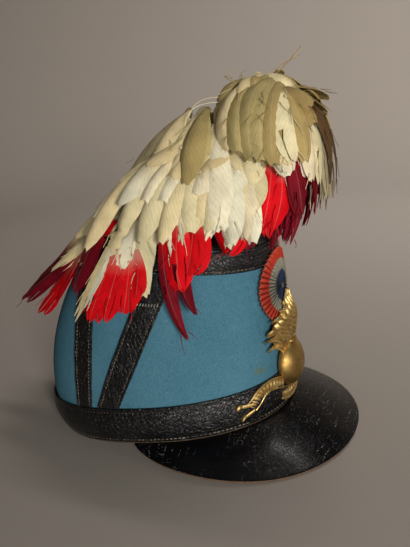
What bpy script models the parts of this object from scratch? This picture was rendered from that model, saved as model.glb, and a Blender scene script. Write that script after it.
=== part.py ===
"""A shako hat: a cloth-covered body, leather bands, straps and peak, a pleated cockade,
a stamped brass grenade badge and a drooping feather plume, each a separate solid.

The hat is drawn with its rim level. Its front is -Y, its wearer's left is +X and up is +Z.
At the end it is set down as it rests by itself: on the back of its rim and the edge of its peak.
"""

import math

import bmesh
import bpy
from mathutils import Vector

# Body, over the outer face of the cloth, from the middle of the rim
RIM_FRONT = 0.0980
RIM_BACK = 0.0980
RIM_HALF_WIDTH = 0.0780
WAIST_HEIGHT = 0.0450
WAIST_BACK = 0.0981
WAIST_HALF_WIDTH = 0.0767
TOP_FRONT = 0.1030
TOP_BACK = 0.0275
TOP_HALF_WIDTH = 0.0565
FRONT_HEIGHT = 0.1235
BACK_HEIGHT = 0.1530
RIM_TUCK = 0.0040
RIM_TUCK_HEIGHT = 0.0300
OVAL_POWER = 2.3
FRONT_NARROWING = 0.06
BODY_WALL = 0.0026

# Clearances
GAP = 0.0003
STRAP_GAP = 0.0006

# Bands and straps
BAND_LEATHER = 0.0017
BASE_BAND_HEIGHT = 0.0275
TOP_BAND_HEIGHT = 0.0143
STRAP_LEATHER = 0.0018
STRAP_FOOT_TAPER = 0.0025
STRAP_TAPER_SHARE = 0.33
STRAP_END_CLEARANCE = 0.0006
FRONT_STRAP_WIDTH = 0.0190
FRONT_STRAP_FOOT_FORWARD = -0.0146
FRONT_STRAP_TOP_FORWARD = 0.0500
BACK_STRAP_WIDTH = 0.0165
BACK_STRAP_FOOT_FORWARD = -0.0368
BACK_STRAP_TOP_FORWARD = -0.0155

# Crown
CROWN_LEATHER = 0.0024
CROWN_RISE = 0.0070

# Peak
PEAK_REACH = 0.0471
PEAK_DROP = 0.0273
PEAK_LEATHER = 0.0026
PEAK_HALF_TURN = math.radians(90.4)
PEAK_ROUNDNESS = 0.66
PEAK_FRONT_SLOPE = 0.58
PEAK_SIDE_SLOPE = 0.41
PEAK_CAMBER = 0.0016
PEAK_TUCK_IN = 0.0040

# Cockade
COCKADE_RADIUS = 0.0285
COCKADE_HEIGHT = 0.0905
COCKADE_PLEATS = 26
COCKADE_PLEAT_DEPTH = 0.0012
COCKADE_CLOTH = 0.0014
COCKADE_RINGS = (0.0, 0.42, 0.72, 1.0)

# Badge
BADGE_BALL_RADIUS = 0.0188
BADGE_BALL_HEIGHT = 0.0298
BADGE_BALL_BULGE = 0.0120
BADGE_METAL = 0.0013
BADGE_STAND_OFF = 0.0026
BADGE_LIFT_START = 0.0411
FLAME_HEIGHT = 0.0385
FLAME_LIFT = 0.0036
FLAME_BULGE = 0.0045
FLAME_HALF_WIDTH = 0.0270
FLAME_METAL = 0.0023
FLAME_ROOT = 0.72
FLAME_CURL = 0.45
RIBBON_WIDTH = 0.0105
RIBBON_METAL = 0.0018
RIBBON_HALF_SPAN = 0.0560
RIBBON_RISE = 0.0205
TAIL_HALF_WIDTH = 0.0027
TAIL_SLANT = 0.3
TAIL_BEAD_START = 0.75
TAIL_BEAD_WIDTH = 0.77
TAIL_BEAD_BULGE = 1.5

# Plume
PLUME_STEM_RADIUS = 0.0024
PLUME_STEM_CLEARANCE = 0.0005
PLUME_HOLDER_RADIUS = 0.0052
PLUME_HOLDER_HEIGHT = 0.0140
PLUME_HOLDER_SETBACK = 0.0090
PLUME_HOLDER_FLOOR = 0.0030
PLUME_RISE = 0.0760
PLUME_LEAN = 0.0170
PLUME_BACK_REACH = 0.2470
PLUME_FALL = 0.1300
PLUME_HEAD_RADIUS = 0.0420
HEAD_CORE = 0.86
TUFT_ROOT_RISE = 0.0210
MANTLE_ROOT_RISE = 0.0042
TAIL_ROOT_RISE = -0.0084
LOCK_WIDTH = 0.0400
LOCK_THICKNESS = 0.0090
LOCK_POINTING = 0.10
LOCK_CLEARANCE = 0.0060
LOCK_SKIN_CLEARANCE = 0.0030
LOCK_EDGE_EASE = 0.0200
LOCK_RINGS = 8

# Mesh fineness
AROUND = 60
BAND_ROWS = 2
MIDDLE_ROWS = 5
CROWN_ROWS = 3
STRAP_COLUMNS = 3
PEAK_COLUMNS = 26
PEAK_ROWS = 6
BALL_SIDES = 16
BALL_RINGS = 8
LEAF_SIDES = 6
LEAF_RINGS = 6
HEAD_SIDES = 10
HEAD_RINGS = 8
STRIP_COLUMNS = 2
HOLDER_SIDES = 16
STEM_STATIONS = 7
HEIGHT_ROUNDS = 12
TURN_ROUNDS = 8
TRIM_MARGIN = 0.0030
WELD = 0.000001
TRIMMER_SIZE = 0.5
SMOOTH_ANGLE = math.radians(40)


def between(low, high, share):
    """The value a share of the way from low to high."""
    return low + (high - low) * share


def through_three(height, middle, end, low, centre, high):
    """A parabola through low at height 0, centre at middle and high at end."""
    rise = (high - low) / end
    bend = ((centre - low) / middle - rise) / (middle - end)
    return low + rise * height + bend * height * (height - end)


def body_back(height):
    """How far the back of the wall is behind the middle of the rim."""
    wall = through_three(height, WAIST_HEIGHT, BACK_HEIGHT, RIM_BACK, WAIST_BACK, TOP_BACK)
    tuck = max(0.0, 1.0 - height / RIM_TUCK_HEIGHT) ** 2
    return wall - RIM_TUCK * tuck


def body_front(height):
    """How far the front of the wall is before the middle of the rim."""
    return between(RIM_FRONT, TOP_FRONT, height / FRONT_HEIGHT)


def body_half_width(height):
    """Half the width of the wall at a height."""
    top = (FRONT_HEIGHT + BACK_HEIGHT) / 2
    return through_three(height, WAIST_HEIGHT, top, RIM_HALF_WIDTH, WAIST_HALF_WIDTH, TOP_HALF_WIDTH)


def crown_height(forward):
    """Height of the slanting plane that the body is cut off at."""
    share = (TOP_FRONT - forward) / (TOP_FRONT + TOP_BACK)
    return between(FRONT_HEIGHT, BACK_HEIGHT, share)


def oval_power(value):
    """A cosine or sine squared off a little, which turns an ellipse into the hat's oval."""
    return math.copysign(abs(value) ** (2 / OVAL_POWER), value)


def wall_point(turn, height):
    """A point of the cloth's outer face: turn 0 is the front, and +90 degrees the wearer's left."""
    front = body_front(height)
    back = body_back(height)
    along = oval_power(math.cos(turn))
    across = oval_power(math.sin(turn)) * (1 - FRONT_NARROWING * along)
    forward = (front - back) / 2 + (front + back) / 2 * along
    return Vector((body_half_width(height) * across, -forward, height))


def wall_normal(turn, height):
    """The outward direction of the cloth's outer face."""
    step_turn = math.radians(0.5)
    step_height = 0.0005
    along = wall_point(turn + step_turn, height) - wall_point(turn - step_turn, height)
    up = wall_point(turn, height + step_height) - wall_point(turn, height - step_height)
    return along.cross(up).normalized()


def on_wall(turn, height, stand_off=0.0):
    """A point that stands off from the cloth's outer face."""
    return wall_point(turn, height) + wall_normal(turn, height) * stand_off


def top_edge_height(turn):
    """Height of the body's top edge, where the wall meets the slanting plane."""
    height = FRONT_HEIGHT
    for _ in range(HEIGHT_ROUNDS):
        height = crown_height(-wall_point(turn, height).y)
    return height


def row_height(turn, row):
    """Height of a row of the wall's corners. The bands' edges follow rows of the wall."""
    edge = top_edge_height(turn)
    if row <= BAND_ROWS:
        return between(-TRIM_MARGIN, BASE_BAND_HEIGHT, row / BAND_ROWS)
    if row <= BAND_ROWS + MIDDLE_ROWS:
        return between(BASE_BAND_HEIGHT, edge - TOP_BAND_HEIGHT, (row - BAND_ROWS) / MIDDLE_ROWS)
    return edge + TRIM_MARGIN


def side_turn(forward, height):
    """The turn at which the left side of the wall passes a place forward of the middle."""
    front = body_front(height)
    back = body_back(height)
    along = (forward - (front - back) / 2) / ((front + back) / 2)
    along = max(-1.0, min(1.0, along))
    cosine = math.copysign(abs(along) ** (OVAL_POWER / 2), along)
    return math.acos(cosine)


def material(name, colour, roughness, metallic=0.0):
    """A plain finish."""
    finish = bpy.data.materials.new(name)
    finish.use_nodes = True
    shader = finish.node_tree.nodes["Principled BSDF"]
    shader.inputs["Base Color"].default_value = (*colour, 1.0)
    shader.inputs["Roughness"].default_value = roughness
    shader.inputs["Metallic"].default_value = metallic
    return finish


def give_finish(mesh, finish):
    """Gives a mesh its material and smooth shading."""
    mesh.materials.append(finish)
    mesh.shade_smooth()
    mesh.set_sharp_from_angle(angle=SMOOTH_ANGLE)


def add_object(name, mesh, collection, parent, finish=None):
    """Puts a mesh in the scene under its name."""
    thing = bpy.data.objects.new(name, mesh)
    collection.objects.link(thing)
    thing.parent = parent
    if finish:
        give_finish(mesh, finish)
    return thing


def bent_sheet(columns, rows, place):
    """A flat grid of corners, each carried to place(across, up), where both run from 0 to 1."""
    form = bmesh.new()
    bmesh.ops.create_grid(form, x_segments=columns, y_segments=rows, size=0.5)
    for corner in form.verts:
        corner.co = place(corner.co.x + 0.5, corner.co.y + 0.5)
    bmesh.ops.remove_doubles(form, verts=form.verts, dist=WELD)
    bmesh.ops.dissolve_degenerate(form, edges=form.edges, dist=WELD)
    return form


def turn_outward(form, outward):
    """Turns an open sheet so that its faces look the given way."""
    bmesh.ops.recalc_face_normals(form, faces=form.faces)
    total = sum((face.normal * face.calc_area() for face in form.faces), Vector())
    if total.dot(outward) < 0:
        bmesh.ops.reverse_faces(form, faces=form.faces)


def finish_mesh(name, form):
    """Writes a bmesh into a mesh of its own."""
    mesh = bpy.data.meshes.new(name)
    form.normal_update()
    form.to_mesh(mesh)
    form.free()
    return mesh


def give_wall(thing, thickness, side):
    """Turns an open sheet into a wall: side +1 builds outward from it, and -1 inward."""
    solid = thing.modifiers.new("wall", "SOLIDIFY")
    solid.thickness = thickness
    solid.offset = side
    solid.use_even_offset = True
    return solid


def trim(thing, trimmer):
    """Cuts a helper's form out of a solid."""
    cut = thing.modifiers.new("trim", "BOOLEAN")
    cut.operation = "DIFFERENCE"
    cut.object = trimmer


def make_trimmers(collection, parent):
    """Blocks below the rim's plane and above the crown's slanting plane."""
    blocks = {}
    slope = math.atan2(BACK_HEIGHT - FRONT_HEIGHT, TOP_FRONT + TOP_BACK)
    for name, face, tilt, side in (
        ("rim_trimmer", Vector((0, 0, 0)), 0.0, -1),
        ("crown_trimmer", Vector((0, -TOP_FRONT, FRONT_HEIGHT)), slope, 1),
    ):
        form = bmesh.new()
        bmesh.ops.create_cube(form, size=TRIMMER_SIZE)
        block = add_object(name, finish_mesh(name, form), collection, parent)
        block.rotation_euler.x = tilt
        up = Vector((0, -math.sin(tilt), math.cos(tilt)))
        block.location = face + up * side * TRIMMER_SIZE / 2
        block.hide_render = True
        block.display_type = "WIRE"
        blocks[name] = block
    return blocks


def full_turn(across):
    """The turn of a column of a sheet that goes all round."""
    return across * 2 * math.pi


def make_body(collection, parent, trimmers, finish):
    """The cloth-covered wall, open below for the head."""
    rows = BAND_ROWS + MIDDLE_ROWS + 1

    def place(across, up):
        turn = full_turn(across)
        return on_wall(turn, row_height(turn, round(up * rows)))

    body = add_object("body_shell", finish_mesh("body_shell", bent_sheet(AROUND, rows, place)),
                      collection, parent, finish)
    give_wall(body, BODY_WALL, -1)
    trim(body, trimmers["rim_trimmer"])
    trim(body, trimmers["crown_trimmer"])


def make_bands(collection, parent, trimmers, finish):
    """The leather bands round the rim and round the top."""
    def base_place(across, up):
        turn = full_turn(across)
        return on_wall(turn, row_height(turn, round(up * BAND_ROWS)), GAP)

    def top_place(across, up):
        turn = full_turn(across)
        return on_wall(turn, row_height(turn, BAND_ROWS + MIDDLE_ROWS + round(up)), GAP)

    base = add_object("base_band", finish_mesh("base_band", bent_sheet(AROUND, BAND_ROWS, base_place)),
                      collection, parent, finish)
    give_wall(base, BAND_LEATHER, 1)
    trim(base, trimmers["rim_trimmer"])
    top = add_object("top_band", finish_mesh("top_band", bent_sheet(AROUND, 1, top_place)),
                     collection, parent, finish)
    give_wall(top, BAND_LEATHER, 1)
    trim(top, trimmers["crown_trimmer"])


def crown_point(turn, share):
    """A point of the crown's upper face: share 0 is its middle and 1 its edge."""
    edge_height = top_edge_height(turn)
    wall = wall_point(turn, edge_height)
    outward = Vector((wall_normal(turn, edge_height).x, wall_normal(turn, edge_height).y, 0)).normalized()
    edge = wall + outward * (GAP + BAND_LEATHER)
    middle_forward = (TOP_FRONT - TOP_BACK) / 2
    middle = Vector((0, -middle_forward, crown_height(middle_forward)))
    point = middle.lerp(edge, share)
    point.z = crown_height(-point.y) + 2 * GAP + CROWN_LEATHER + CROWN_RISE * (1 - share ** 2)
    return point


def make_crown(collection, parent, finish):
    """The domed leather top, lying on the body's and the top band's upper edges."""
    def place(across, up):
        return crown_point(full_turn(across), 1 - up)

    crown = add_object("crown_top", finish_mesh("crown_top", bent_sheet(AROUND, CROWN_ROWS, place)),
                       collection, parent, finish)
    give_wall(crown, CROWN_LEATHER, -1).use_even_offset = False


def make_straps(collection, parent, finish):
    """Two straps on each side, which stand in a V on the base band and run up to the top band."""
    foot_height = BASE_BAND_HEIGHT + STRAP_END_CLEARANCE
    arms = (
        ("front", FRONT_STRAP_WIDTH, FRONT_STRAP_FOOT_FORWARD, FRONT_STRAP_TOP_FORWARD),
        ("back", BACK_STRAP_WIDTH, BACK_STRAP_FOOT_FORWARD, BACK_STRAP_TOP_FORWARD),
    )
    for side_name, side in (("left", 1), ("right", -1)):
        for arm_name, width, foot_forward, top_forward in arms:
            lean = (top_forward - foot_forward) / (crown_height(top_forward) - foot_height)
            slant = math.hypot(1, lean)

            def place(across, up):
                full_width = width - STRAP_FOOT_TAPER * max(0.0, 1 - up / STRAP_TAPER_SHARE)
                shift = (across - 0.5) * full_width * slant
                high = crown_height(top_forward)
                for _ in range(HEIGHT_ROUNDS):
                    turn = side_turn(foot_forward + shift + lean * (high - foot_height), high)
                    high = top_edge_height(turn) - TOP_BAND_HEIGHT - STRAP_END_CLEARANCE
                height = between(foot_height, high, up)
                forward = foot_forward + shift + lean * (height - foot_height)
                return on_wall(side * side_turn(forward, height), height, STRAP_GAP)

            name = f"{side_name}_{arm_name}_strap"
            form = bent_sheet(STRAP_COLUMNS, 2 * MIDDLE_ROWS, place)
            turn_outward(form, wall_normal(side * math.pi / 2, WAIST_HEIGHT))
            strap = add_object(name, finish_mesh(name, form), collection, parent, finish)
            give_wall(strap, STRAP_LEATHER, 1)


def rest_back():
    """How far behind the middle of the rim the back of the base band's foot is."""
    return on_wall(math.pi, 0.0, GAP + BAND_LEATHER).y


def peak_tip_forward():
    """How far forward of the middle of the rim the peak's tip is."""
    return RIM_FRONT + GAP + BAND_LEATHER + PEAK_REACH


def peak_point(turn_share, out_share):
    """A point of the peak's upper face: turn share -1 to 1 across, out share 0 at the band, 1 at the edge."""
    turn = turn_share * PEAK_HALF_TURN
    normal = wall_normal(turn, 0.0)
    outward = Vector((normal.x, normal.y, 0)).normalized()
    foot = wall_point(turn, 0.0) + outward * (GAP + BAND_LEATHER)
    reach = PEAK_REACH * max(0.0, math.cos(math.pi / 2 * turn_share)) ** PEAK_ROUNDNESS
    edge_forward = -(foot + outward * reach).y
    slope = between(PEAK_FRONT_SLOPE, PEAK_SIDE_SLOPE, turn_share ** 2)
    rest_drop = PEAK_DROP * (edge_forward + rest_back()) / (peak_tip_forward() + rest_back())
    drop = min(reach * slope, rest_drop)
    point = foot + outward * reach * out_share
    camber = PEAK_CAMBER * math.sin(math.pi * out_share) * reach / PEAK_REACH
    point.z = camber - GAP - drop * out_share
    return point


def make_peak(collection, parent, finish):
    """The leather peak, whose inner edge is sewn under the rim."""
    def place(across, up):
        turn_share = between(-1, 1, across)
        out_share = (up * PEAK_ROWS - 1) / (PEAK_ROWS - 1)
        if out_share >= 0:
            return peak_point(turn_share, out_share)
        foot = peak_point(turn_share, 0.0)
        normal = wall_normal(turn_share * PEAK_HALF_TURN, 0.0)
        inward = Vector((-normal.x, -normal.y, 0)).normalized()
        return foot + inward * (PEAK_TUCK_IN + GAP + BAND_LEATHER)

    form = bent_sheet(PEAK_COLUMNS, PEAK_ROWS, place)
    turn_outward(form, Vector((0, 0, 1)))
    peak = add_object("peak", finish_mesh("peak", form), collection, parent, finish)
    give_wall(peak, PEAK_LEATHER, -1).use_even_offset = False


def rest_tilt():
    """The angle between the rim's plane and the surface that the hat rests on."""
    tilt = 0.0
    samples = 40
    widest = 0.8
    step = 0.01
    for index in range(samples + 1):
        turn_share = between(-widest, widest, index / samples)
        edge = peak_point(turn_share, 1.0)
        along = peak_point(turn_share + step, 1.0) - peak_point(turn_share - step, 1.0)
        out = edge - peak_point(turn_share, 1.0 - step)
        normal = out.cross(along).normalized()
        if normal.z < 0:
            normal = -normal
        under = edge - normal * PEAK_LEATHER
        tilt = max(tilt, math.atan2(-under.z, rest_back() - under.y))
    return tilt


def front_turn(side, height):
    """The turn at which the front of the wall passes a place to the left of the middle."""
    along = 1.0
    turn = 0.0
    for _ in range(TURN_ROUNDS):
        share = side / (body_half_width(height) * (1 - FRONT_NARROWING * along))
        turn = math.asin(math.copysign(min(1.0, abs(share)) ** (OVAL_POWER / 2), share))
        along = oval_power(math.cos(turn))
    return turn


def on_front(side, height, stand_off):
    """A point before the front of the wall, a distance to the left and a height above the rim."""
    return on_wall(front_turn(side, height), height, stand_off)


def make_cockade(collection, parent, finish):
    """A disc of pleated ribbon, bent round the front over the edge of the top band."""
    back = GAP + BAND_LEATHER + STRAP_GAP + COCKADE_CLOTH + COCKADE_PLEAT_DEPTH / 2

    def place(across, up):
        share = COCKADE_RINGS[round((1 - up) * (len(COCKADE_RINGS) - 1))]
        pleat = round(across * COCKADE_PLEATS * 2)
        fold = COCKADE_PLEAT_DEPTH / 2 * share * (1 if pleat % 2 else -1)
        turn = full_turn(across)
        side = COCKADE_RADIUS * share * math.sin(turn)
        height = COCKADE_HEIGHT + COCKADE_RADIUS * share * math.cos(turn)
        return on_front(side, height, back + fold)

    form = bent_sheet(COCKADE_PLEATS * 2, len(COCKADE_RINGS) - 1, place)
    turn_outward(form, Vector((0, -1, 0)))
    cockade = add_object("cockade", finish_mesh("cockade", form), collection, parent, finish)
    give_wall(cockade, COCKADE_CLOTH, -1).use_even_offset = False


def badge_lift(height):
    """How much further the badge stands off as it passes over the cockade."""
    flame_top = BADGE_BALL_HEIGHT + BADGE_BALL_RADIUS + FLAME_HEIGHT
    share = (height - BADGE_LIFT_START) / (flame_top - BADGE_LIFT_START)
    return FLAME_LIFT * max(0.0, share)


def on_badge(side, height, out):
    """A point of the badge, which is bent to the front of the hat."""
    return on_front(side, height, BADGE_STAND_OFF + badge_lift(height) + out)


def stretched_ball(segments, rings, place):
    """A ball primitive, each corner carried to place(x, y, z) on the unit sphere."""
    form = bmesh.new()
    bmesh.ops.create_uvsphere(form, u_segments=segments, v_segments=rings, radius=1)
    for corner in form.verts:
        corner.co = place(*corner.co)
    bmesh.ops.recalc_face_normals(form, faces=form.faces)
    return form


def make_badge_ball(collection, parent, finish):
    """The stamped ball: a thin domed shell, open at its back."""
    form = bmesh.new()
    bmesh.ops.create_uvsphere(form, u_segments=BALL_SIDES, v_segments=BALL_RINGS, radius=1)
    bmesh.ops.bisect_plane(form, geom=form.verts[:] + form.edges[:] + form.faces[:],
                           plane_co=(0, 0, 0), plane_no=(0, 0, 1), clear_inner=True, dist=WELD)
    for corner in form.verts:
        side, up, out = corner.co
        corner.co = on_badge(side * BADGE_BALL_RADIUS, BADGE_BALL_HEIGHT + up * BADGE_BALL_RADIUS,
                             out * BADGE_BALL_BULGE)
    turn_outward(form, Vector((0, -1, 0)))
    ball = add_object("grenade_badge", finish_mesh("grenade_badge", form), collection, parent, finish)
    give_wall(ball, BADGE_METAL, -1)
    return ball


def make_flame_tongue(name, side, lean, length, width, collection, parent):
    """One tongue of flame: a leaf that starts behind the ball's top and curls upward."""
    root_height = BADGE_BALL_HEIGHT + BADGE_BALL_RADIUS * FLAME_ROOT
    curl = lean * FLAME_CURL
    half_metal = FLAME_METAL / 2

    def place(x, y, z):
        share = (z + 1) / 2
        bend = lean - curl * share
        reach = length * share
        middle_side = side + reach * math.sin(bend)
        middle_height = root_height + reach * math.cos(bend)
        across = x * width / 2
        bulge = FLAME_BULGE * math.sin(math.pi * share)
        return on_badge(middle_side + across * math.cos(bend),
                        middle_height - across * math.sin(bend), bulge + half_metal + y * half_metal)

    return add_helper(name, finish_mesh(name, stretched_ball(LEAF_SIDES, LEAF_RINGS, place)), collection, parent)


def add_helper(name, mesh, collection, parent):
    """A piece that is joined to another, and isn't a node by itself."""
    helper = add_object(name, mesh, collection, parent)
    helper.hide_render = True
    helper.display_type = "WIRE"
    return helper


def make_flame(collection, parent):
    """The flame's tongues, the middle one upright and the others in pairs."""
    reach = FLAME_HEIGHT + BADGE_BALL_RADIUS * (1 - FLAME_ROOT)
    tongues = (
        {"side": 0.00, "lean": 0, "length": 1.00, "width": 0.48},
        {"side": 0.10, "lean": 17, "length": 0.84, "width": 0.42},
        {"side": 0.18, "lean": 36, "length": 0.74, "width": 0.38},
        {"side": 0.22, "lean": 58, "length": 0.66, "width": 0.34},
    )
    for index, tongue in enumerate(tongues):
        for side in ((1, -1) if index else (1,)):
            make_flame_tongue(f"flame_tongue_{index}_{side}", side * tongue["side"] * FLAME_HALF_WIDTH,
                              side * math.radians(tongue["lean"]), reach * tongue["length"],
                              FLAME_HALF_WIDTH * tongue["width"], collection, parent)


def make_ribbon_strip(name, stations, collection, parent):
    """A strip of the badge's scroll. Each station gives its middle and width as shares."""
    def place(across, up):
        position = across * (len(stations) - 1)
        index = min(int(position), len(stations) - 2)
        share = position - index
        first = stations[index]
        second = stations[index + 1]
        side = between(first["side"], second["side"], share) * RIBBON_HALF_SPAN
        middle = between(first["height"], second["height"], share) * RIBBON_RISE
        width = between(first["width"], second["width"], share) * RIBBON_WIDTH
        lean = math.radians(between(first["lean"], second["lean"], share))
        out = (up - 0.5) * width
        return on_badge(side + out * math.sin(lean), middle + out * math.cos(lean), 0.0)

    form = bent_sheet((len(stations) - 1) * STRIP_COLUMNS, 1, place)
    turn_outward(form, Vector((0, -1, 0)))
    strip = add_helper(name, finish_mesh(name, form), collection, parent)
    give_wall(strip, RIBBON_METAL, 1).use_even_offset = False
    return strip


def make_ribbon(collection, parent):
    """The bare scroll below the ball: a middle strip, and at each side an arch with two tails."""
    middle = (
        {"side": -0.37, "height": 0.60, "width": 1.0, "lean": 8},
        {"side": -0.20, "height": 0.42, "width": 1.0, "lean": 4},
        {"side": 0.00, "height": 0.36, "width": 1.0, "lean": 0},
        {"side": 0.20, "height": 0.42, "width": 1.0, "lean": -4},
        {"side": 0.37, "height": 0.60, "width": 1.0, "lean": -8},
    )
    make_ribbon_strip("ribbon_middle", middle, collection, parent)
    arch = (
        {"side": 0.30, "height": 0.98, "width": 0.86, "lean": 0},
        {"side": 0.46, "height": 1.06, "width": 0.86, "lean": 6},
        {"side": 0.62, "height": 0.98, "width": 0.86, "lean": 22},
        {"side": 0.73, "height": 0.76, "width": 0.84, "lean": 40},
        {"side": 0.80, "height": 0.58, "width": 0.84, "lean": 30},
    )
    tails = (
        ({"side": 0.76, "height": 0.68}, {"side": 0.96, "height": 0.74}),
        ({"side": 0.76, "height": 0.50}, {"side": 0.93, "height": 0.34}),
    )
    for side_name, side in (("left", 1), ("right", -1)):
        stations = [dict(row, side=side * row["side"], lean=side * row["lean"]) for row in arch]
        make_ribbon_strip(f"ribbon_{side_name}_arch", stations, collection, parent)
        for number, (root, tip) in enumerate(tails):
            make_ribbon_tail(f"ribbon_{side_name}_tail_{number}", side, root, tip, collection, parent)


def make_ribbon_tail(name, side, root, tip, collection, parent):
    """A tail of the scroll: a prong that swells into a bead at its end."""
    half_metal = RIBBON_METAL / 2

    def place(x, y, z):
        share = (z + 1) / 2
        middle_side = side * between(root["side"], tip["side"], share) * RIBBON_HALF_SPAN
        middle_height = between(root["height"], tip["height"], share) * RIBBON_RISE
        half_width = TAIL_HALF_WIDTH
        bulge = half_metal
        if share >= TAIL_BEAD_START:
            half_width *= TAIL_BEAD_WIDTH
            bulge *= TAIL_BEAD_BULGE
        return on_badge(middle_side + x * half_width * TAIL_SLANT, middle_height + x * half_width,
                        half_metal + y * bulge)

    return add_helper(name, finish_mesh(name, stretched_ball(LEAF_SIDES, LEAF_RINGS, place)), collection, parent)


def join_with(thing, pieces):
    """Fuses every piece of a collection to an object."""
    union = thing.modifiers.new("join", "BOOLEAN")
    union.operation = "UNION"
    union.operand_type = "COLLECTION"
    union.collection = pieces


def make_badge(collection, pieces, parent, finish):
    """The badge: ball, flame and bare scroll, stamped as one."""
    ball = make_badge_ball(collection, parent, finish)
    make_flame(pieces, parent)
    make_ribbon(pieces, parent)
    join_with(ball, pieces)


def holder_foot():
    """Where the plume's holder stands on the crown, and the direction in which it points."""
    share = 1 - PLUME_HOLDER_SETBACK / ((TOP_FRONT + TOP_BACK) / 2)
    step = 0.01
    foot = crown_point(0.0, share)
    along = crown_point(0.0, share + step) - crown_point(0.0, share - step)
    axis = Vector((1, 0, 0)).cross(along).normalized()
    if axis.z < 0:
        axis = -axis
    return foot + axis * GAP, axis


def plume_head():
    """The place from which the plume's feathers spring."""
    foot, _ = holder_foot()
    return foot + Vector((0, -PLUME_LEAN, PLUME_RISE))


def make_post(name, radius, low, group, parent, finish=None):
    """A round post that stands on the crown along the holder's axis."""
    foot, axis = holder_foot()
    form = bmesh.new()
    bmesh.ops.create_cone(form, cap_ends=True, segments=HOLDER_SIDES, radius1=radius, radius2=radius,
                          depth=PLUME_HOLDER_HEIGHT)
    post = add_object(name, finish_mesh(name, form), group, parent, finish)
    post.rotation_mode = "QUATERNION"
    post.rotation_quaternion = Vector((0, 0, 1)).rotation_difference(axis)
    post.location = foot + axis * (low + PLUME_HOLDER_HEIGHT / 2)
    return post


def make_plume_holder(collection, cutters, parent, finish):
    """The socket that the plume's stem is pushed into."""
    holder = make_post("plume_holder", PLUME_HOLDER_RADIUS, 0.0, collection, parent, finish)
    bore = make_post("plume_holder_bore", PLUME_STEM_RADIUS + PLUME_STEM_CLEARANCE,
                     PLUME_HOLDER_FLOOR, cutters, parent)
    bore.hide_render = True
    bore.display_type = "WIRE"
    trim(holder, bore)


def clear_of_hat(point, clearance):
    """Moves a point of the plume off the crown and the wall, and round the edge between them."""
    forward = -point.y
    height = min(max(point.z, 0.0), BACK_HEIGHT)
    middle = (body_front(height) - body_back(height)) / 2
    half_length = (body_front(height) + body_back(height)) / 2
    along = (forward - middle) / half_length
    half_width = body_half_width(height) * (1 - FRONT_NARROWING * max(-1.0, min(1.0, along)))
    across = point.x / half_width
    radius = (abs(along) ** OVAL_POWER + abs(across) ** OVAL_POWER) ** (1 / OVAL_POWER)
    out = (radius - 1) * half_width - GAP - BAND_LEATHER
    crown = crown_height(forward) + CROWN_LEATHER + CROWN_RISE * max(0.0, 1 - radius ** 2)
    up = point.z - crown
    outward = Vector((across / half_width, -along / half_length, 0)).normalized()
    upward = Vector((0, 0, 1))
    rise = min(1.0, max(0.0, 0.5 + (up - out) / LOCK_EDGE_EASE))
    push = max(0.0, clearance - max(out, up)) / max(rise, 1 - rise)
    return point + (outward * (1 - rise) + upward * rise) * push


def make_lock(name, root, control, tip, width, collection, parent):
    """A lock of feathers: a flat leaf along a drooping path from the head, laid over the hat."""
    def path(share):
        return root * (1 - share) ** 2 + control * 2 * share * (1 - share) + tip * share ** 2

    def place(x, y, z):
        share = (z + 1) / 2
        middle = clear_of_hat(path(share), LOCK_CLEARANCE + LOCK_THICKNESS / 2)
        direction = (path(min(1.0, share + 0.04)) - path(max(0.0, share - 0.04))).normalized()
        away = middle - plume_head() + Vector((0, 0, PLUME_HEAD_RADIUS))
        flat = direction.cross(away).normalized()
        proud = flat.cross(direction).normalized()
        fullness = 1.0 + LOCK_POINTING * (0.5 - share)
        point = middle + flat * x * width / 2 * fullness + proud * y * LOCK_THICKNESS / 2
        return clear_of_hat(point, LOCK_SKIN_CLEARANCE)

    return add_helper(name, finish_mesh(name, stretched_ball(LEAF_SIDES, LOCK_RINGS, place)), collection, parent)


def make_locks(kind, table, root_rise, reach_size, fall_size, collection, parent):
    """Locks in mirrored pairs. Turn 0 points back, and the other columns are shares of named sizes."""
    head = plume_head()
    root = head + Vector((0, 0, root_rise))
    for side in (1, -1):
        for number, lock in enumerate(table):
            turn = math.radians(lock["turn"]) * side
            outward = Vector((math.sin(turn), math.cos(turn), 0))
            reach = reach_size * lock["reach"]
            control = root + outward * reach * lock["arch"] + Vector((0, 0, fall_size * lock["lift"]))
            tip = head + outward * reach - Vector((0, 0, fall_size * lock["fall"]))
            make_lock(f"{kind}_lock_{number}_{side}", root, control, tip,
                      LOCK_WIDTH * lock["width"], collection, parent)


def make_tuft(collection, parent):
    """The short feathers that fall all round the head."""
    locks = (
        {"turn": 171, "reach": 0.98, "fall": 1.10, "arch": 1.20, "lift": 0.30, "width": 0.85},
        {"turn": 132, "reach": 0.94, "fall": 1.50, "arch": 1.20, "lift": 0.30, "width": 0.75},
        {"turn": 90, "reach": 0.90, "fall": 1.00, "arch": 1.20, "lift": 0.30, "width": 0.85},
        {"turn": 48, "reach": 0.90, "fall": 0.90, "arch": 1.20, "lift": 0.30, "width": 0.85},
        {"turn": 10, "reach": 0.86, "fall": 0.40, "arch": 1.15, "lift": 0.35, "width": 0.85},
    )
    make_locks("tuft", locks, TUFT_ROOT_RISE, PLUME_HEAD_RADIUS, PLUME_HEAD_RADIUS,
               collection, parent)


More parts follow.
